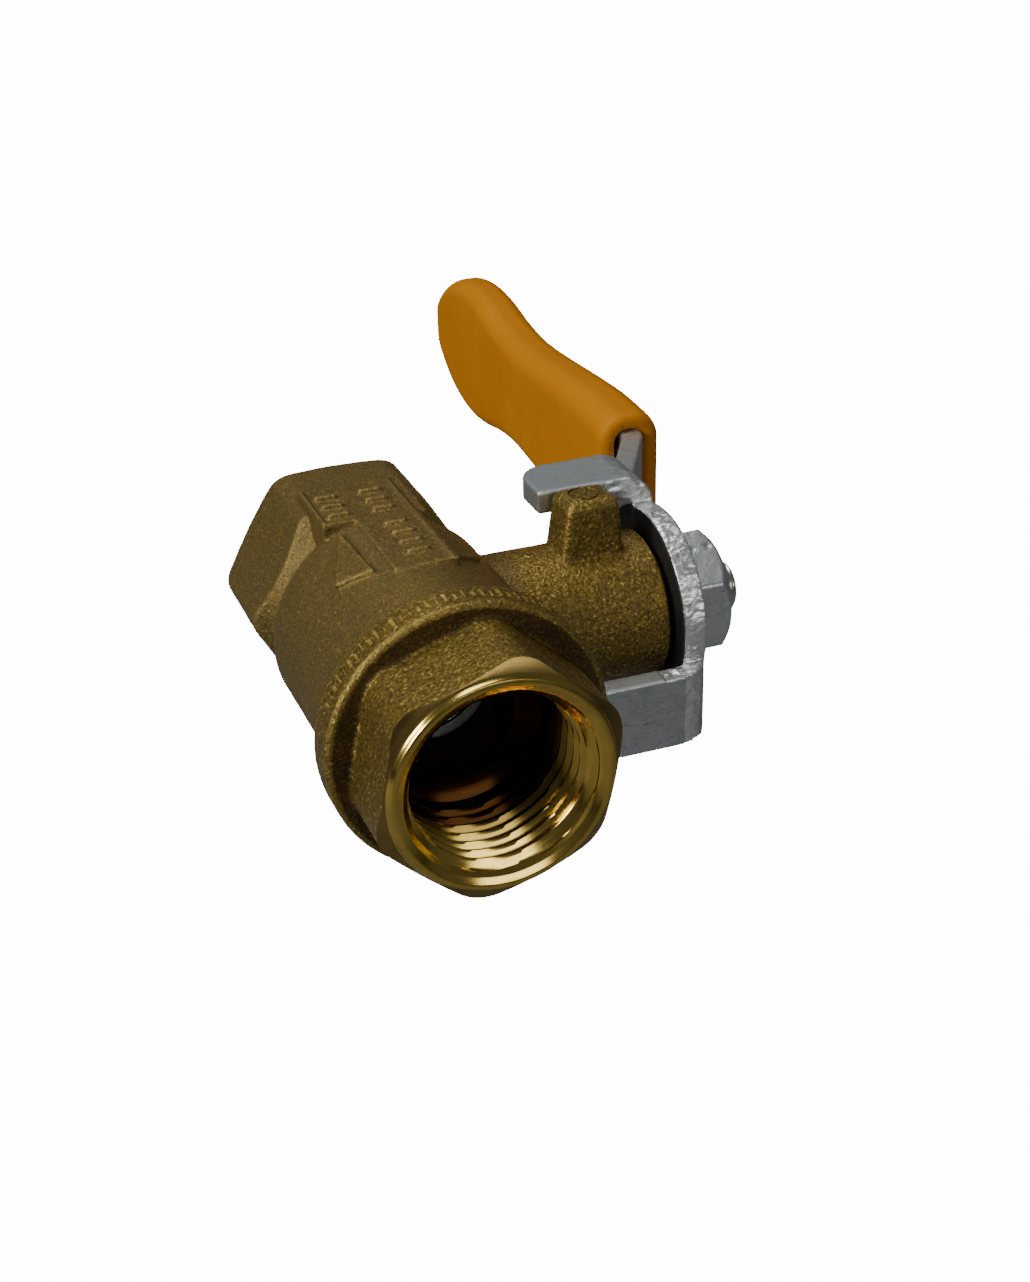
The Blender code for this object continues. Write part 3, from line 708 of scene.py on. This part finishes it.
# ------------------------------------------------------------------ forged valve body
def forged_body():
    """Barrel, far hexagon, neck, lug and marking pad, bored through for the pipe and stem."""
    form = turned("forged_valve_body", [
        (0, 15.5), (9.2, 15.5), (9.2, 8.4), (9.35, 7.2), (10.45, 5.5), (BARREL_R, 5.0),
        (BARREL_R, MOUTH - 1.0), (0, MOUTH - 1.0)])
    hexagon = pipe_prism("far_hexagon", hex_outline(HEX_ACROSS, 2.3, 0.0), 6.5, REAR_FACE + 1)
    shoulder = turned("hexagon_shoulder", [
        (0, REAR_FACE + 2), (13, REAR_FACE + 2), (13, 12.2), (11.3, 10.4), (10.0, 9.0),
        (9.1, 7.7), (0, 7.7)])
    combine(hexagon, [shoulder], "INTERSECT")
    neck = turned("stem_neck", [
        (0, NECK_END + 1), (NECK_R, NECK_END + 1), (NECK_R, 2), (0, 2)], axis="X")
    pads = [block("marking_pad", (-5.3, 5.2, 5), (4.6, 14.0, 10.72), 0.1),
            block("marking_pad_tongue", (-2.2, -5.6, 5), (3.9, 6.0, 10.78), 0.1)]
    for side in (-1, 1):
        corners = []
        for y, degrees in ((4.7, 21), (-4.6, 19), (-3.0, 37)):
            a = math.radians(degrees)
            corners += [(side * r * math.sin(a), y, r * math.cos(a)) for r in (11.25, 9.8)]
        pads.append(hull("raised_wedge", corners))
    lug = bevelled(hull("stop_lug", [
        (14.35, -2.55, 4.5), (14.35, 2.55, 4.5), (20.75, 2.55, 4.5), (20.75, -2.55, 4.5),
        (15.4, -2.1, LUG_TOP), (15.4, 2.1, LUG_TOP), (20.3, 2.1, LUG_TOP),
        (20.3, -2.1, LUG_TOP)]), 0.75, 3, 30)
    combine(form, [hexagon, neck, lug] + pads)
    # low border of the marking pad and plain raised bars inside it
    border = []
    for name, low, high in (("left", (-5.2, 5.4), (-4.8, 13.4)),
                            ("cross", (-5.2, 5.3), (-1.9, 5.7)),
                            ("right", (3.1, -5.2), (3.55, 13.4))):
        border.append(block("pad_border_" + name, (*low, 9.5), (*high, 10.92), 0.1))
    for x, y in ((-3.3, 11.2), (-3.3, 9.1), (-3.3, 7.0), (0.9, 11.2), (0.9, 9.1), (0.9, 7.0),
                 (0.9, 3.4), (0.9, 1.3), (0.9, -0.8), (0.9, -2.9)):
        border.append(block("pad_bar", (x - 1.15, y - 0.42, 9.5), (x + 1.15, y + 0.42, 11.12),
                            0.14))
    combine(form, border)
    forged(form, 0.14, 3)
    co, n = points_of(form), normals_of(form)
    unevenness = rough_noise(co, 0.45, 3) * 0.035
    set_points(form, co + n * unevenness[:, None])
    mark_edges(form, 22.0)

    waterway = [(0, MOUTH - 4), (15, MOUTH - 4), (15, MOUTH), (10.1, MOUTH),
                (9.6, MOUTH + 0.6), (9.6, -5.0), (8.25, -5.0), (8.25, 7.9), (BORE_R, 7.9)]
    waterway += port_profile(REAR_FACE, -1)[::-1]
    waterway += [(12.4, REAR_FACE - REAR_CONE_DEPTH), (15, REAR_FACE - 1.6),
                 (15, REAR_FACE + 3), (0, REAR_FACE + 3)]
    bore = turned("waterway", waterway, steps=FULL_TURN)
    stem_bore = turned("stem_bore", [
        (0, 4), (NECK_BORE_R, 4), (NECK_BORE_R, 11.8), (3.8, 11.8), (3.8, NECK_END - 0.6),
        (4.3, NECK_END), (6.5, NECK_END), (7.3, NECK_END - 0.6), (9, NECK_END - 0.6),
        (9, NECK_END + 3), (0, NECK_END + 3)], axis="X", steps=96)
    lug_mark = turned("lug_mark", [
        (1.15, -0.16), (1.45, -0.16), (1.6, 0.5), (1.0, 0.5)], steps=48, loop=True)
    lug_mark.data.transform(Matrix.Translation((17.7, 0, LUG_TOP)) @
                            Matrix.Rotation(math.radians(90), 4, "X"))
    combine(form, [bore, stem_bore, lug_mark], "DIFFERENCE")
    return form


def body_faces(obj):
    """0 forged, 1 turned, 2 neck and lug, 3 turned cone over the hexagon's corners."""
    c, n = face_data(obj)
    pipe_r = np.hypot(c[:, 0], c[:, 2])
    stem_r = np.hypot(c[:, 1], c[:, 2])
    ends = ((c[:, 1] > REAR_FACE - 1.7) & (n[:, 1] > 0.3)) | (c[:, 1] < MOUTH + 0.02)
    inward = (c[:, 0] * n[:, 0] + c[:, 2] * n[:, 2]) / np.maximum(pipe_r, 1e-3) < -0.3
    bores = (pipe_r < 9.7) & inward & (c[:, 2] < 9.5)
    neck = (stem_r < 5.0) & (c[:, 0] > 8)
    cone = ends & (pipe_r > FACE_RING_R + 0.15) & (c[:, 1] > 0)
    return np.select([cone, ends | bores | neck, c[:, 0] > 10.3], [3, 1, 2], 0)


finish_piece(forged_body(), "valve", ["valve_body"],
             [forged_brass_look, turned_brass_look, neck_brass_look, rubbed_brass_look],
             32, body_faces)


# ------------------------------------------------------------------ screwed end cap
def end_cap():
    """Flange with its marked band and near hexagon, bored and threaded."""
    flange_rear = MOUTH - GAP
    flange_front = flange_rear - FLANGE_T
    form = turned("screwed_end_cap", [
        (0, -4), (9.3, -4), (9.3, flange_rear), (FLANGE_R - 0.1, flange_rear),
        (FLANGE_R - 0.1, flange_front + 0.35), (FLANGE_R - 0.45, flange_front),
        (0, flange_front)], steps=192)
    hexagon = pipe_prism("cap_hexagon", hex_outline(HEX_ACROSS, 3.4, CAP_HEX_TURN, 8),
                         FRONT_FACE - 1, flange_front + 1.5)
    combine(form, [hexagon])
    # plain ticks round the band, built as one mesh
    corners, sides = [], []
    for k in range(TICKS):
        turn_by = Matrix.Rotation(math.radians(TICK_FIRST - k * TICK_STEP), 3, "Y")
        half = (0.25, 0.15, 0.21)[k % 3]
        rear = flange_rear - (1.0, 1.4)[k % 2]
        for height, inset in ((FLANGE_R - 0.6, 0), (FLANGE_R - 0.01, 0.1)):
            near, far = flange_front + 1.1 + inset, rear - inset
            corners += [turn_by @ Vector((x * (half - inset), y, height))
                        for x, y in ((-1, near), (1, near), (1, far), (-1, far))]
        b = 8 * k
        sides += [(b, b + 1, b + 2, b + 3), (b + 4, b + 5, b + 6, b + 7)]
        sides += [(b + m, b + (m + 1) % 4, b + 4 + (m + 1) % 4, b + 4 + m) for m in range(4)]
    ticks = mesh_object("flange_ticks", corners, sides)
    store(ticks, "edge", np.full(len(corners), 0.7))
    forged(form, 0.15, 3)
    co, n = points_of(form), normals_of(form)
    set_points(form, co + n * (rough_noise(co, 0.6, 3) * 0.02 - 0.04)[:, None])
    mark_edges(form, 26.0)
    combine(form, [ticks])
    waterway = [(0, FRONT_FACE - 3), (15, FRONT_FACE - 3), (15, FRONT_FACE + CONE_DEPTH),
                (12.6, FRONT_FACE + CONE_DEPTH)]
    waterway += port_profile(FRONT_FACE, 1)
    waterway += [(BORE_R, -7.9), (8.2, -7.9), (8.2, -5.3), (8.9, -5.3), (9.3, -5.7),
                 (10.5, -5.7), (10.5, -2), (0, -2)]
    combine(form, [turned("cap_waterway", waterway, steps=FULL_TURN)], "DIFFERENCE")
    return form


def cap_faces(obj):
    """0 blasted, 1 turned, 2 flange front face with painted shade, 3 turned cone over the
    hexagon's corners.
    """
    c, n = face_data(obj)
    pipe_r = np.hypot(c[:, 0], c[:, 2])
    face = (c[:, 1] < FRONT_FACE + 1.9) & (n[:, 1] < -0.3)
    inside = (c[:, 0] * n[:, 0] + c[:, 2] * n[:, 2]) / np.maximum(pipe_r, 1e-3) < -0.2
    turned_faces = face | (inside & (pipe_r < 9)) | (c[:, 1] > MOUTH - GAP - 0.02)
    # the flange's front face beside the hexagon takes the dark brass as painted shade
    flange_shade_mask = (n[:, 1] < -0.5) & (pipe_r > 10.2) & (pipe_r < 11.9) & (c[:, 1] > MOUTH - 4.6)
    cone = face & (pipe_r > FACE_RING_R + 0.15) & (n[:, 1] > -0.97)
    return np.select([cone, turned_faces, flange_shade_mask], [3, 1, 2], 0)


finish_piece(end_cap(), "valve", ["end_cap"],
             [cap_brass_look, turned_brass_look, shaded_flange_brass_look, rubbed_brass_look],
             32, cap_faces)


# ------------------------------------------------------------------ ball and seats
def drilled_ball():
    """Ball with its waterway and the slot for the stem's tang."""
    mouth = math.asin((BORE_R + 0.35) / BALL_R)
    sphere = [(BALL_R * math.sin(t), BALL_R * math.cos(t))
              for t in np.linspace(mouth, math.pi - mouth, 72)]
    start = BALL_R * math.cos(mouth)
    edge = [(BORE_R, start - 0.45), (BORE_R + 0.12, start - 0.12)]
    profile = edge + sphere + [(r, -y) for r, y in edge[::-1]]
    ball = turned("drilled_ball", profile, steps=128, loop=True)
    slot = block("tang_slot", (5.6, -2.0, -9), (9, 2.0, 9))
    combine(ball, [slot], "DIFFERENCE", "EXACT")
    return ball


finish_piece(drilled_ball(), "ball", ["ball"], [chrome_look], sharp=40)


def seat_ring(name, side):
    """PTFE ring whose inner face follows the ball."""
    touch = BALL_R + GAP
    back = seat_high.y
    lip = [(r, math.sqrt(touch ** 2 - r ** 2)) for r in np.linspace(5.35, 6.9, 9)]
    outline = [(5.3, back - 0.1), (5.4, back), (7.75, back), (7.9, back - 0.15),
               (7.9, lip[-1][1] + 0.1), (7.8, lip[-1][1])] + lip[::-1]
    if side < 0:
        outline = [(r, -y) for r, y in outline[::-1]]
    return turned(name, outline, loop=True, steps=96)


finish_piece(seat_ring("front_seat", -1), "valve", ["seat_ring_front"],
             [ptfe_look], sharp=40)
finish_piece(seat_ring("rear_seat", 1), "valve", ["seat_ring_rear"],
             [ptfe_look], sharp=40)


# ------------------------------------------------------------------ stem and its seals
def threaded_stem():
    """Stem from its tang to its threaded end, with two seal grooves."""
    steps = 96
    angle = np.arange(steps) * 2 * math.pi / steps
    flats = np.minimum(3.0, 2.2 / np.maximum(np.abs(np.cos(angle)), 1e-3))
    end = stem_high.x
    profile = [(0.0, end - 0.25), (1.2, end - 0.2), (1.9, end), (2.15, end)]
    s = end - 0.35
    while s > nut_low.x:
        depth = min(1.0, (end - s) / 0.9)
        r = thread_radius(2.42, 0.56 * depth, 1.0, s, angle)
        profile.append((np.minimum(r, 2.2 + (end - s) * 0.9), s))
        s -= 0.08
    profile += [(flats, nut_low.x - 0.15), (flats, 23.6), (3.0, 23.45), (STEM_R, 23.2)]
    for x in SEAL_PLACES[::-1]:
        profile += [(STEM_R, x + 0.8), (2.25, x + 0.72), (2.2, x - 0.72), (STEM_R, x - 0.8)]
    profile += [(STEM_R, 10.35), (STEM_SHOULDER_R - 0.15, 10.3), (STEM_SHOULDER_R, 10.15),
                (STEM_SHOULDER_R, 8.6), (STEM_SHOULDER_R - 0.1, 8.5), (0, 8.5)]
    stem = turned("threaded_stem", profile, axis="X", steps=steps)
    tang = block("stem_tang", (stem_low.x, -1.65, -3.95), (9.2, 1.65, 3.95))
    combine(stem, [bevelled(tang, 0.2)], "UNION", "EXACT")
    return stem


finish_piece(threaded_stem(), "lever", ["stem"], [nickel_look], sharp=38)

washer = turned("thrust_washer", [
    (3.8, washer_low.x + 0.1), (3.9, washer_low.x), (4.5, washer_low.x),
    (4.6, washer_low.x + 0.1), (4.6, washer_high.x - 0.1), (4.5, washer_high.x),
    (3.9, washer_high.x), (3.8, washer_high.x - 0.1)], axis="X", loop=True, steps=64)
finish_piece(washer, "valve", ["stem_washer"], [ptfe_look], sharp=40)

for name, node, x in zip(("lower_seal", "upper_seal"), ("o_ring_lower", "o_ring_upper"),
                         SEAL_PLACES):
    section = []
    for t in np.arange(24) * math.pi / 12:
        mould_line = 0.03 if abs(math.sin(t)) < 0.05 else 0
        section.append((SEAL_MID_R + SEAL_R * math.cos(-t) + mould_line,
                        x + SEAL_R * math.sin(-t)))
    seal = turned(name, section, axis="X", loop=True, steps=72)
    finish_piece(seal, "lever", [node], [rubber_look])


# ------------------------------------------------------------------ bent sheet lever
def bent_lever():
    """The stamped sheet with softened faces and a coarse, torn rim where it was sheared."""
    source = frame["nodes"]["lever_plate"]
    plate = placed("bent_lever_plate", source.data.copy())
    plate.data.transform(Matrix.Scale(1 / MM, 4) @ Matrix.Translation(-CENTRE))
    weld = plate.modifiers.new("weld", "WELD")
    weld.merge_threshold = 0.001
    settle(plate)
    forged(plate, 0.15, 4)
    co, n = points_of(plate), normals_of(plate)
    radius = np.hypot(co[:, 1], co[:, 2])
    outward = (co[:, 1] * n[:, 1] + co[:, 2] * n[:, 2]) / np.maximum(radius, 1e-3)
    rim = np.clip((outward - 0.55) / 0.25, 0, 1) * (co[:, 0] > 23.0) * (co[:, 0] < 26.2)
    rim = rim * np.clip((radius - 7.6) / 0.6, 0, 1) * np.clip((5.5 - co[:, 1]) / 2.0, 0, 1)
    sheared = np.clip((np.abs(n[:, 2]) - 0.7) / 0.2, 0, 1) * (co[:, 1] > 3.5) * (co[:, 0] > 22)
    bend = np.clip((-n[:, 1] - 0.5) / 0.3, 0, 1) * (co[:, 1] < 3.5) * (co[:, 0] > 21.0) \
        * (co[:, 2] > 7.5)
    foot = np.clip((n[:, 2] - 0.5) / 0.3, 0, 1) * (co[:, 2] > -4.0) * (co[:, 0] > 21.0) \
        * (co[:, 1] < -6.5)
    rim = np.maximum(rim, np.maximum(bend, foot))
    tears = rough_noise(co * np.array((0.8, 1.5, 1.5)), 1.0, 4)
    fine = rough_noise(co, 2.6, 2)
    ripple = rough_noise(co, 0.35, 2)
    move = rim * (tears * 0.12 + fine * 0.05 - 0.06) + sheared * tears * 0.04 \
        + ripple * 0.02 - 0.01
    lift = np.clip((co[:, 2] + 4.0) / 1.0, 0, 1) * (co[:, 2] < -2) * (co[:, 1] < -8.5)
    co[:, 2] += 0.45 * lift
    set_points(plate, co + n * move[:, None])
    mark_edges(plate, 24.0)
    store(plate, "torn", rim)
    return plate


def lever_faces(obj):
    """1 on the torn rim, 2 on the face that turns against the neck, painted near black as shade.
    """
    values = np.empty(len(obj.data.vertices), np.float32)
    obj.data.attributes["torn"].data.foreach_get("value", values)
    torn = np.array([max(values[v] for v in p.vertices) > 0.45 for p in obj.data.polygons])
    c, n = face_data(obj)
    # the face beside the neck end is painted near black: painted shade between neck and plate
    neck_gap_shade_mask = (n[:, 0] < -0.5) & (c[:, 0] > 22.5) & (c[:, 0] < 25) \
        & (np.hypot(c[:, 1], c[:, 2]) < 9.2)
    return np.where(torn, 1, np.where(neck_gap_shade_mask, 2, 0))


finish_piece(bent_lever(), "lever", ["lever_plate"],
             [zinc_look, torn_zinc_look, shaded_zinc_look], None, lever_faces)


# ------------------------------------------------------------------ dipped grip
GRIP_START = grip_low.y
GRIP_END = grip_high.y
GRIP_MID = 33.5                   # middle plane at the opening
GRIP_LEAN = 0.0213                # outward run per millimetre
GRIP_T = (6.7, 4.6)               # thickness at the opening and at the tip
GRIP_WALL, GRIP_LIP = 1.8, 0.85   # wall, and radius of the rolled lip
GRIP_WIDEST = 8.2                 # half width that the pocket's taper is measured from
GRIP_OUTLINE = ((25.2, 7.9), (32.1, 8.1), (40.2, 7.6), (48.4, 6.9), (55.5, 6.6), (61.6, 7.2),
                (66.7, 8.2), (71.3, 8.5), (76.3, 7.8), (80.9, 5.8), (84.0, 3.1), (85.4, 0.0))


def grip_half_width(y):
    """Smooth half width of the paddle at a distance along the lever."""
    pts = GRIP_OUTLINE
    i = max(k for k in range(len(pts) - 1) if pts[k][0] <= max(y, pts[0][0]))
    (y1, w1), (y2, w2) = pts[i], pts[i + 1]
    before = pts[i - 1] if i > 0 else (2 * y1 - y2, w1)
    after = pts[i + 2] if i + 2 < len(pts) else (y2 + 0.4, -3.0)
    h, t = y2 - y1, (y - y1) / (y2 - y1)
    m1 = (w2 - before[1]) / (y2 - before[0])
    m2 = (after[1] - w1) / (after[0] - y1)
    return ((2 * t ** 3 - 3 * t ** 2 + 1) * w1 + (t ** 3 - 2 * t ** 2 + t) * h * m1
            + (3 * t ** 2 - 2 * t ** 3) * w2 + (t ** 3 - t ** 2) * h * m2)


def rounded_slab(half_x, half_z, corner, centre_x, y, steps=10):
    """Ring of points of a slab's section with rounded corners."""
    corner = min(corner, half_x * 0.98, half_z * 0.98)
    rounds = [[(sx * (half_x - corner) + corner * math.cos(t),
                sz * (half_z - corner) + corner * math.sin(t))
               for t in np.radians(np.linspace(start, start + 90, steps))]
              for sx, sz, start in ((1, 1, 0), (-1, 1, 90), (-1, -1, 180), (1, -1, 270))]
    ring = []
    for this, following in zip(rounds, rounds[1:] + rounds[:1]):
        (u0, v0), (u1, v1) = this[-1], following[0]
        ring += this + [(u0 + (u1 - u0) * k / 6, v0 + (v1 - v0) * k / 6) for k in range(1, 6)]
    return [(centre_x + u, y, v) for u, v in ring]


def dipped_grip():
    """Hollow paddle with a rolled lip, skinned from its pocket outwards."""
    def thickness(y):
        t = (y - GRIP_START) / (GRIP_END - GRIP_START)
        return (GRIP_T[0] + (GRIP_T[1] - GRIP_T[0]) * t) / 2

    def mid(y):
        return GRIP_MID + (y - GRIP_START) * GRIP_LEAN

    rings = []
    for y in (83.2, 82.2, 80.0, 76, 72, 68, 62, 56, 50, 44, 38, 33, 29, 27.2):
        w = max(grip_half_width(y) * (1 - GRIP_WALL / GRIP_WIDEST), 0.4) - (0.4 if y > 81 else 0)
        rings.append(rounded_slab(1.42 + max(0, 33 - y) * 0.045, w, 0.5, mid(y), y))
    inner_x = thickness(GRIP_START) - GRIP_WALL
    inner_z = grip_half_width(GRIP_START) - GRIP_WALL
    for a in np.arange(9) * math.pi / 8:
        y = GRIP_START + GRIP_LIP - GRIP_LIP * math.sin(a)
        share = (1 - math.cos(a)) / 2
        rings.append(rounded_slab(inner_x + (GRIP_WALL - 0.02) * share,
                                  inner_z + GRIP_WALL * share, 1.3 + 1.5 * share, mid(y), y))
    stations = list(np.linspace(GRIP_START + 1.4, 80.0, 46))
    stations += [GRIP_END - d for d in (4.6, 3.8, 3.1, 2.5, 1.9, 1.4, 1.0, 0.65, 0.35, 0.15, 0)]
    for y in stations:
        w = max(grip_half_width(min(y, GRIP_END)), 0.05)
        near_tip = max(0.0, 2.2 - (GRIP_END - y))
        half = thickness(y) - (2.2 - math.sqrt(2.2 ** 2 - near_tip ** 2))
        rings.append(rounded_slab(max(half, 0.1), w, half * 0.8, mid(y), y))
    return skin("dipped_grip", rings)


def grip_faces(obj):
    """0 outside, 1 in the pocket, coloured darker as painted shade."""
    c, n = face_data(obj)
    mid = GRIP_MID + (c[:, 1] - GRIP_START) * GRIP_LEAN
    toward = (c[:, 0] - mid) * n[:, 0] + c[:, 2] * n[:, 2]
    return (toward < -0.2) & (c[:, 1] > GRIP_START + 0.5)


finish_piece(dipped_grip(), "lever", ["lever_grip"],
             [grip_look, shaded_grip_inside_look], None, grip_faces)


# ------------------------------------------------------------------ lever nut
def lever_nut():
    """Pitted hexagon nut with turned corners."""
    form = stem_prism("lever_lock_nut", hex_outline(NUT_ACROSS, 0.45, 90.0), nut_low.x,
                      nut_high.x)
    envelope = turned("nut_turning", [
        (0, nut_high.x + 0.01), (NUT_ACROSS / 2 - 0.25, nut_high.x + 0.01),
        (6.6, nut_high.x - 1.3), (6.6, nut_low.x + 0.5),
        (NUT_ACROSS / 2 + 0.1, nut_low.x - 0.01), (0, nut_low.x - 0.01)], axis="X", steps=96)
    combine(form, [envelope], "INTERSECT")
    forged(form, 0.11, 3)
    co, n = points_of(form), normals_of(form)
    move = rough_noise(co, 0.8, 3) * 0.012
    rng = np.random.default_rng(7)
    for _ in range(NUT_PITS):
        a = rng.uniform(0, 2 * math.pi)
        spot = np.array((rng.uniform(27, 29.6), 5.8 * math.cos(a), 5.8 * math.sin(a)))
        d2 = ((co - spot) ** 2).sum(1)
        move -= 0.12 * np.exp(-d2 / 0.09)
    set_points(form, co + n * move[:, None])
    mark_edges(form, 24.0)
    angle = np.arange(72) * 2 * math.pi / 72
    profile = [(0, nut_low.x - 1), (3.5, nut_low.x - 1), (3.5, nut_low.x + 0.1)]
    for s in np.arange(nut_low.x + 0.3, nut_high.x - 0.3, 0.1):
        profile.append((thread_radius(3.12, 0.3, 1.0, s, angle), s))
    profile += [(3.5, nut_high.x - 0.1), (3.7, nut_high.x + 1), (0, nut_high.x + 1)]
    hole = turned("nut_thread", profile, axis="X", steps=72)
    combine(form, [hole], "DIFFERENCE")
    return form


finish_piece(lever_nut(), "lever", ["lever_nut"], [nut_zinc_look], sharp=40)

# ------------------------------------------------------------------ floor and light
floor_mesh = bpy.data.meshes.new("floor")
floor_mesh.from_pydata([(-3, -3, 0), (3, -3, 0), (3, 3, 0), (-3, 3, 0)], [], [(0, 1, 2, 3)])
floor = placed("floor", floor_mesh)
floor.location.z = CENTRE.z - (GRIP_END + 3) * MM          # clears the lever when it hangs down
floor_look, floor_tree, floor_bsdf = new_material("pale_floor", 0.0, Roughness=0.9)
floor_bsdf.inputs["Emission Color"].default_value = (1, 1, 1, 1)
seen = add(floor_tree, "LightPath").outputs["Is Camera Ray"]
floor_tree.links.new(maths(floor_tree, "MULTIPLY", seen, 14.0),
                     floor_bsdf.inputs["Emission Strength"])
floor_tree.links.new(blend_colour(floor_tree, seen, (0.17, 0.17, 0.17, 1), (0.86, 0.86, 0.86, 1)),
                     floor_bsdf.inputs["Base Color"])
floor_mesh.materials.append(floor_look)

world = bpy.data.worlds.new("studio")
bpy.context.scene.world = world
world.use_nodes = True
world.node_tree.nodes["Background"].inputs["Color"].default_value = (0.96, 0.98, 1.0, 1)
world.node_tree.nodes["Background"].inputs["Strength"].default_value = 0.08


def soft_light(name, place, target, size, power):
    """Panel light aimed at a point."""
    data = bpy.data.lights.new(name, "AREA")
    data.shape = "RECTANGLE"
    data.size, data.size_y = size
    data.energy = power
    light = bpy.data.objects.new(name, data)
    light.location = place
    aim = Vector(target) - Vector(place)
    light.rotation_euler = aim.to_track_quat("-Z", "Y").to_euler()
    COLLECTION.objects.link(light)


soft_light("ceiling_panel", (-0.05, 0.1, 0.55), (0, -0.01, 0), (0.3, 0.25), 1.5)
soft_light("left_panel", (-0.5, -0.12, 0.28), (0, -0.02, 0.01), (0.2, 0.2), 2.5)
soft_light("front_panel", (0.12, -0.55, 0.25), (0, -0.03, 0.01), (0.4, 0.14), 0.62)
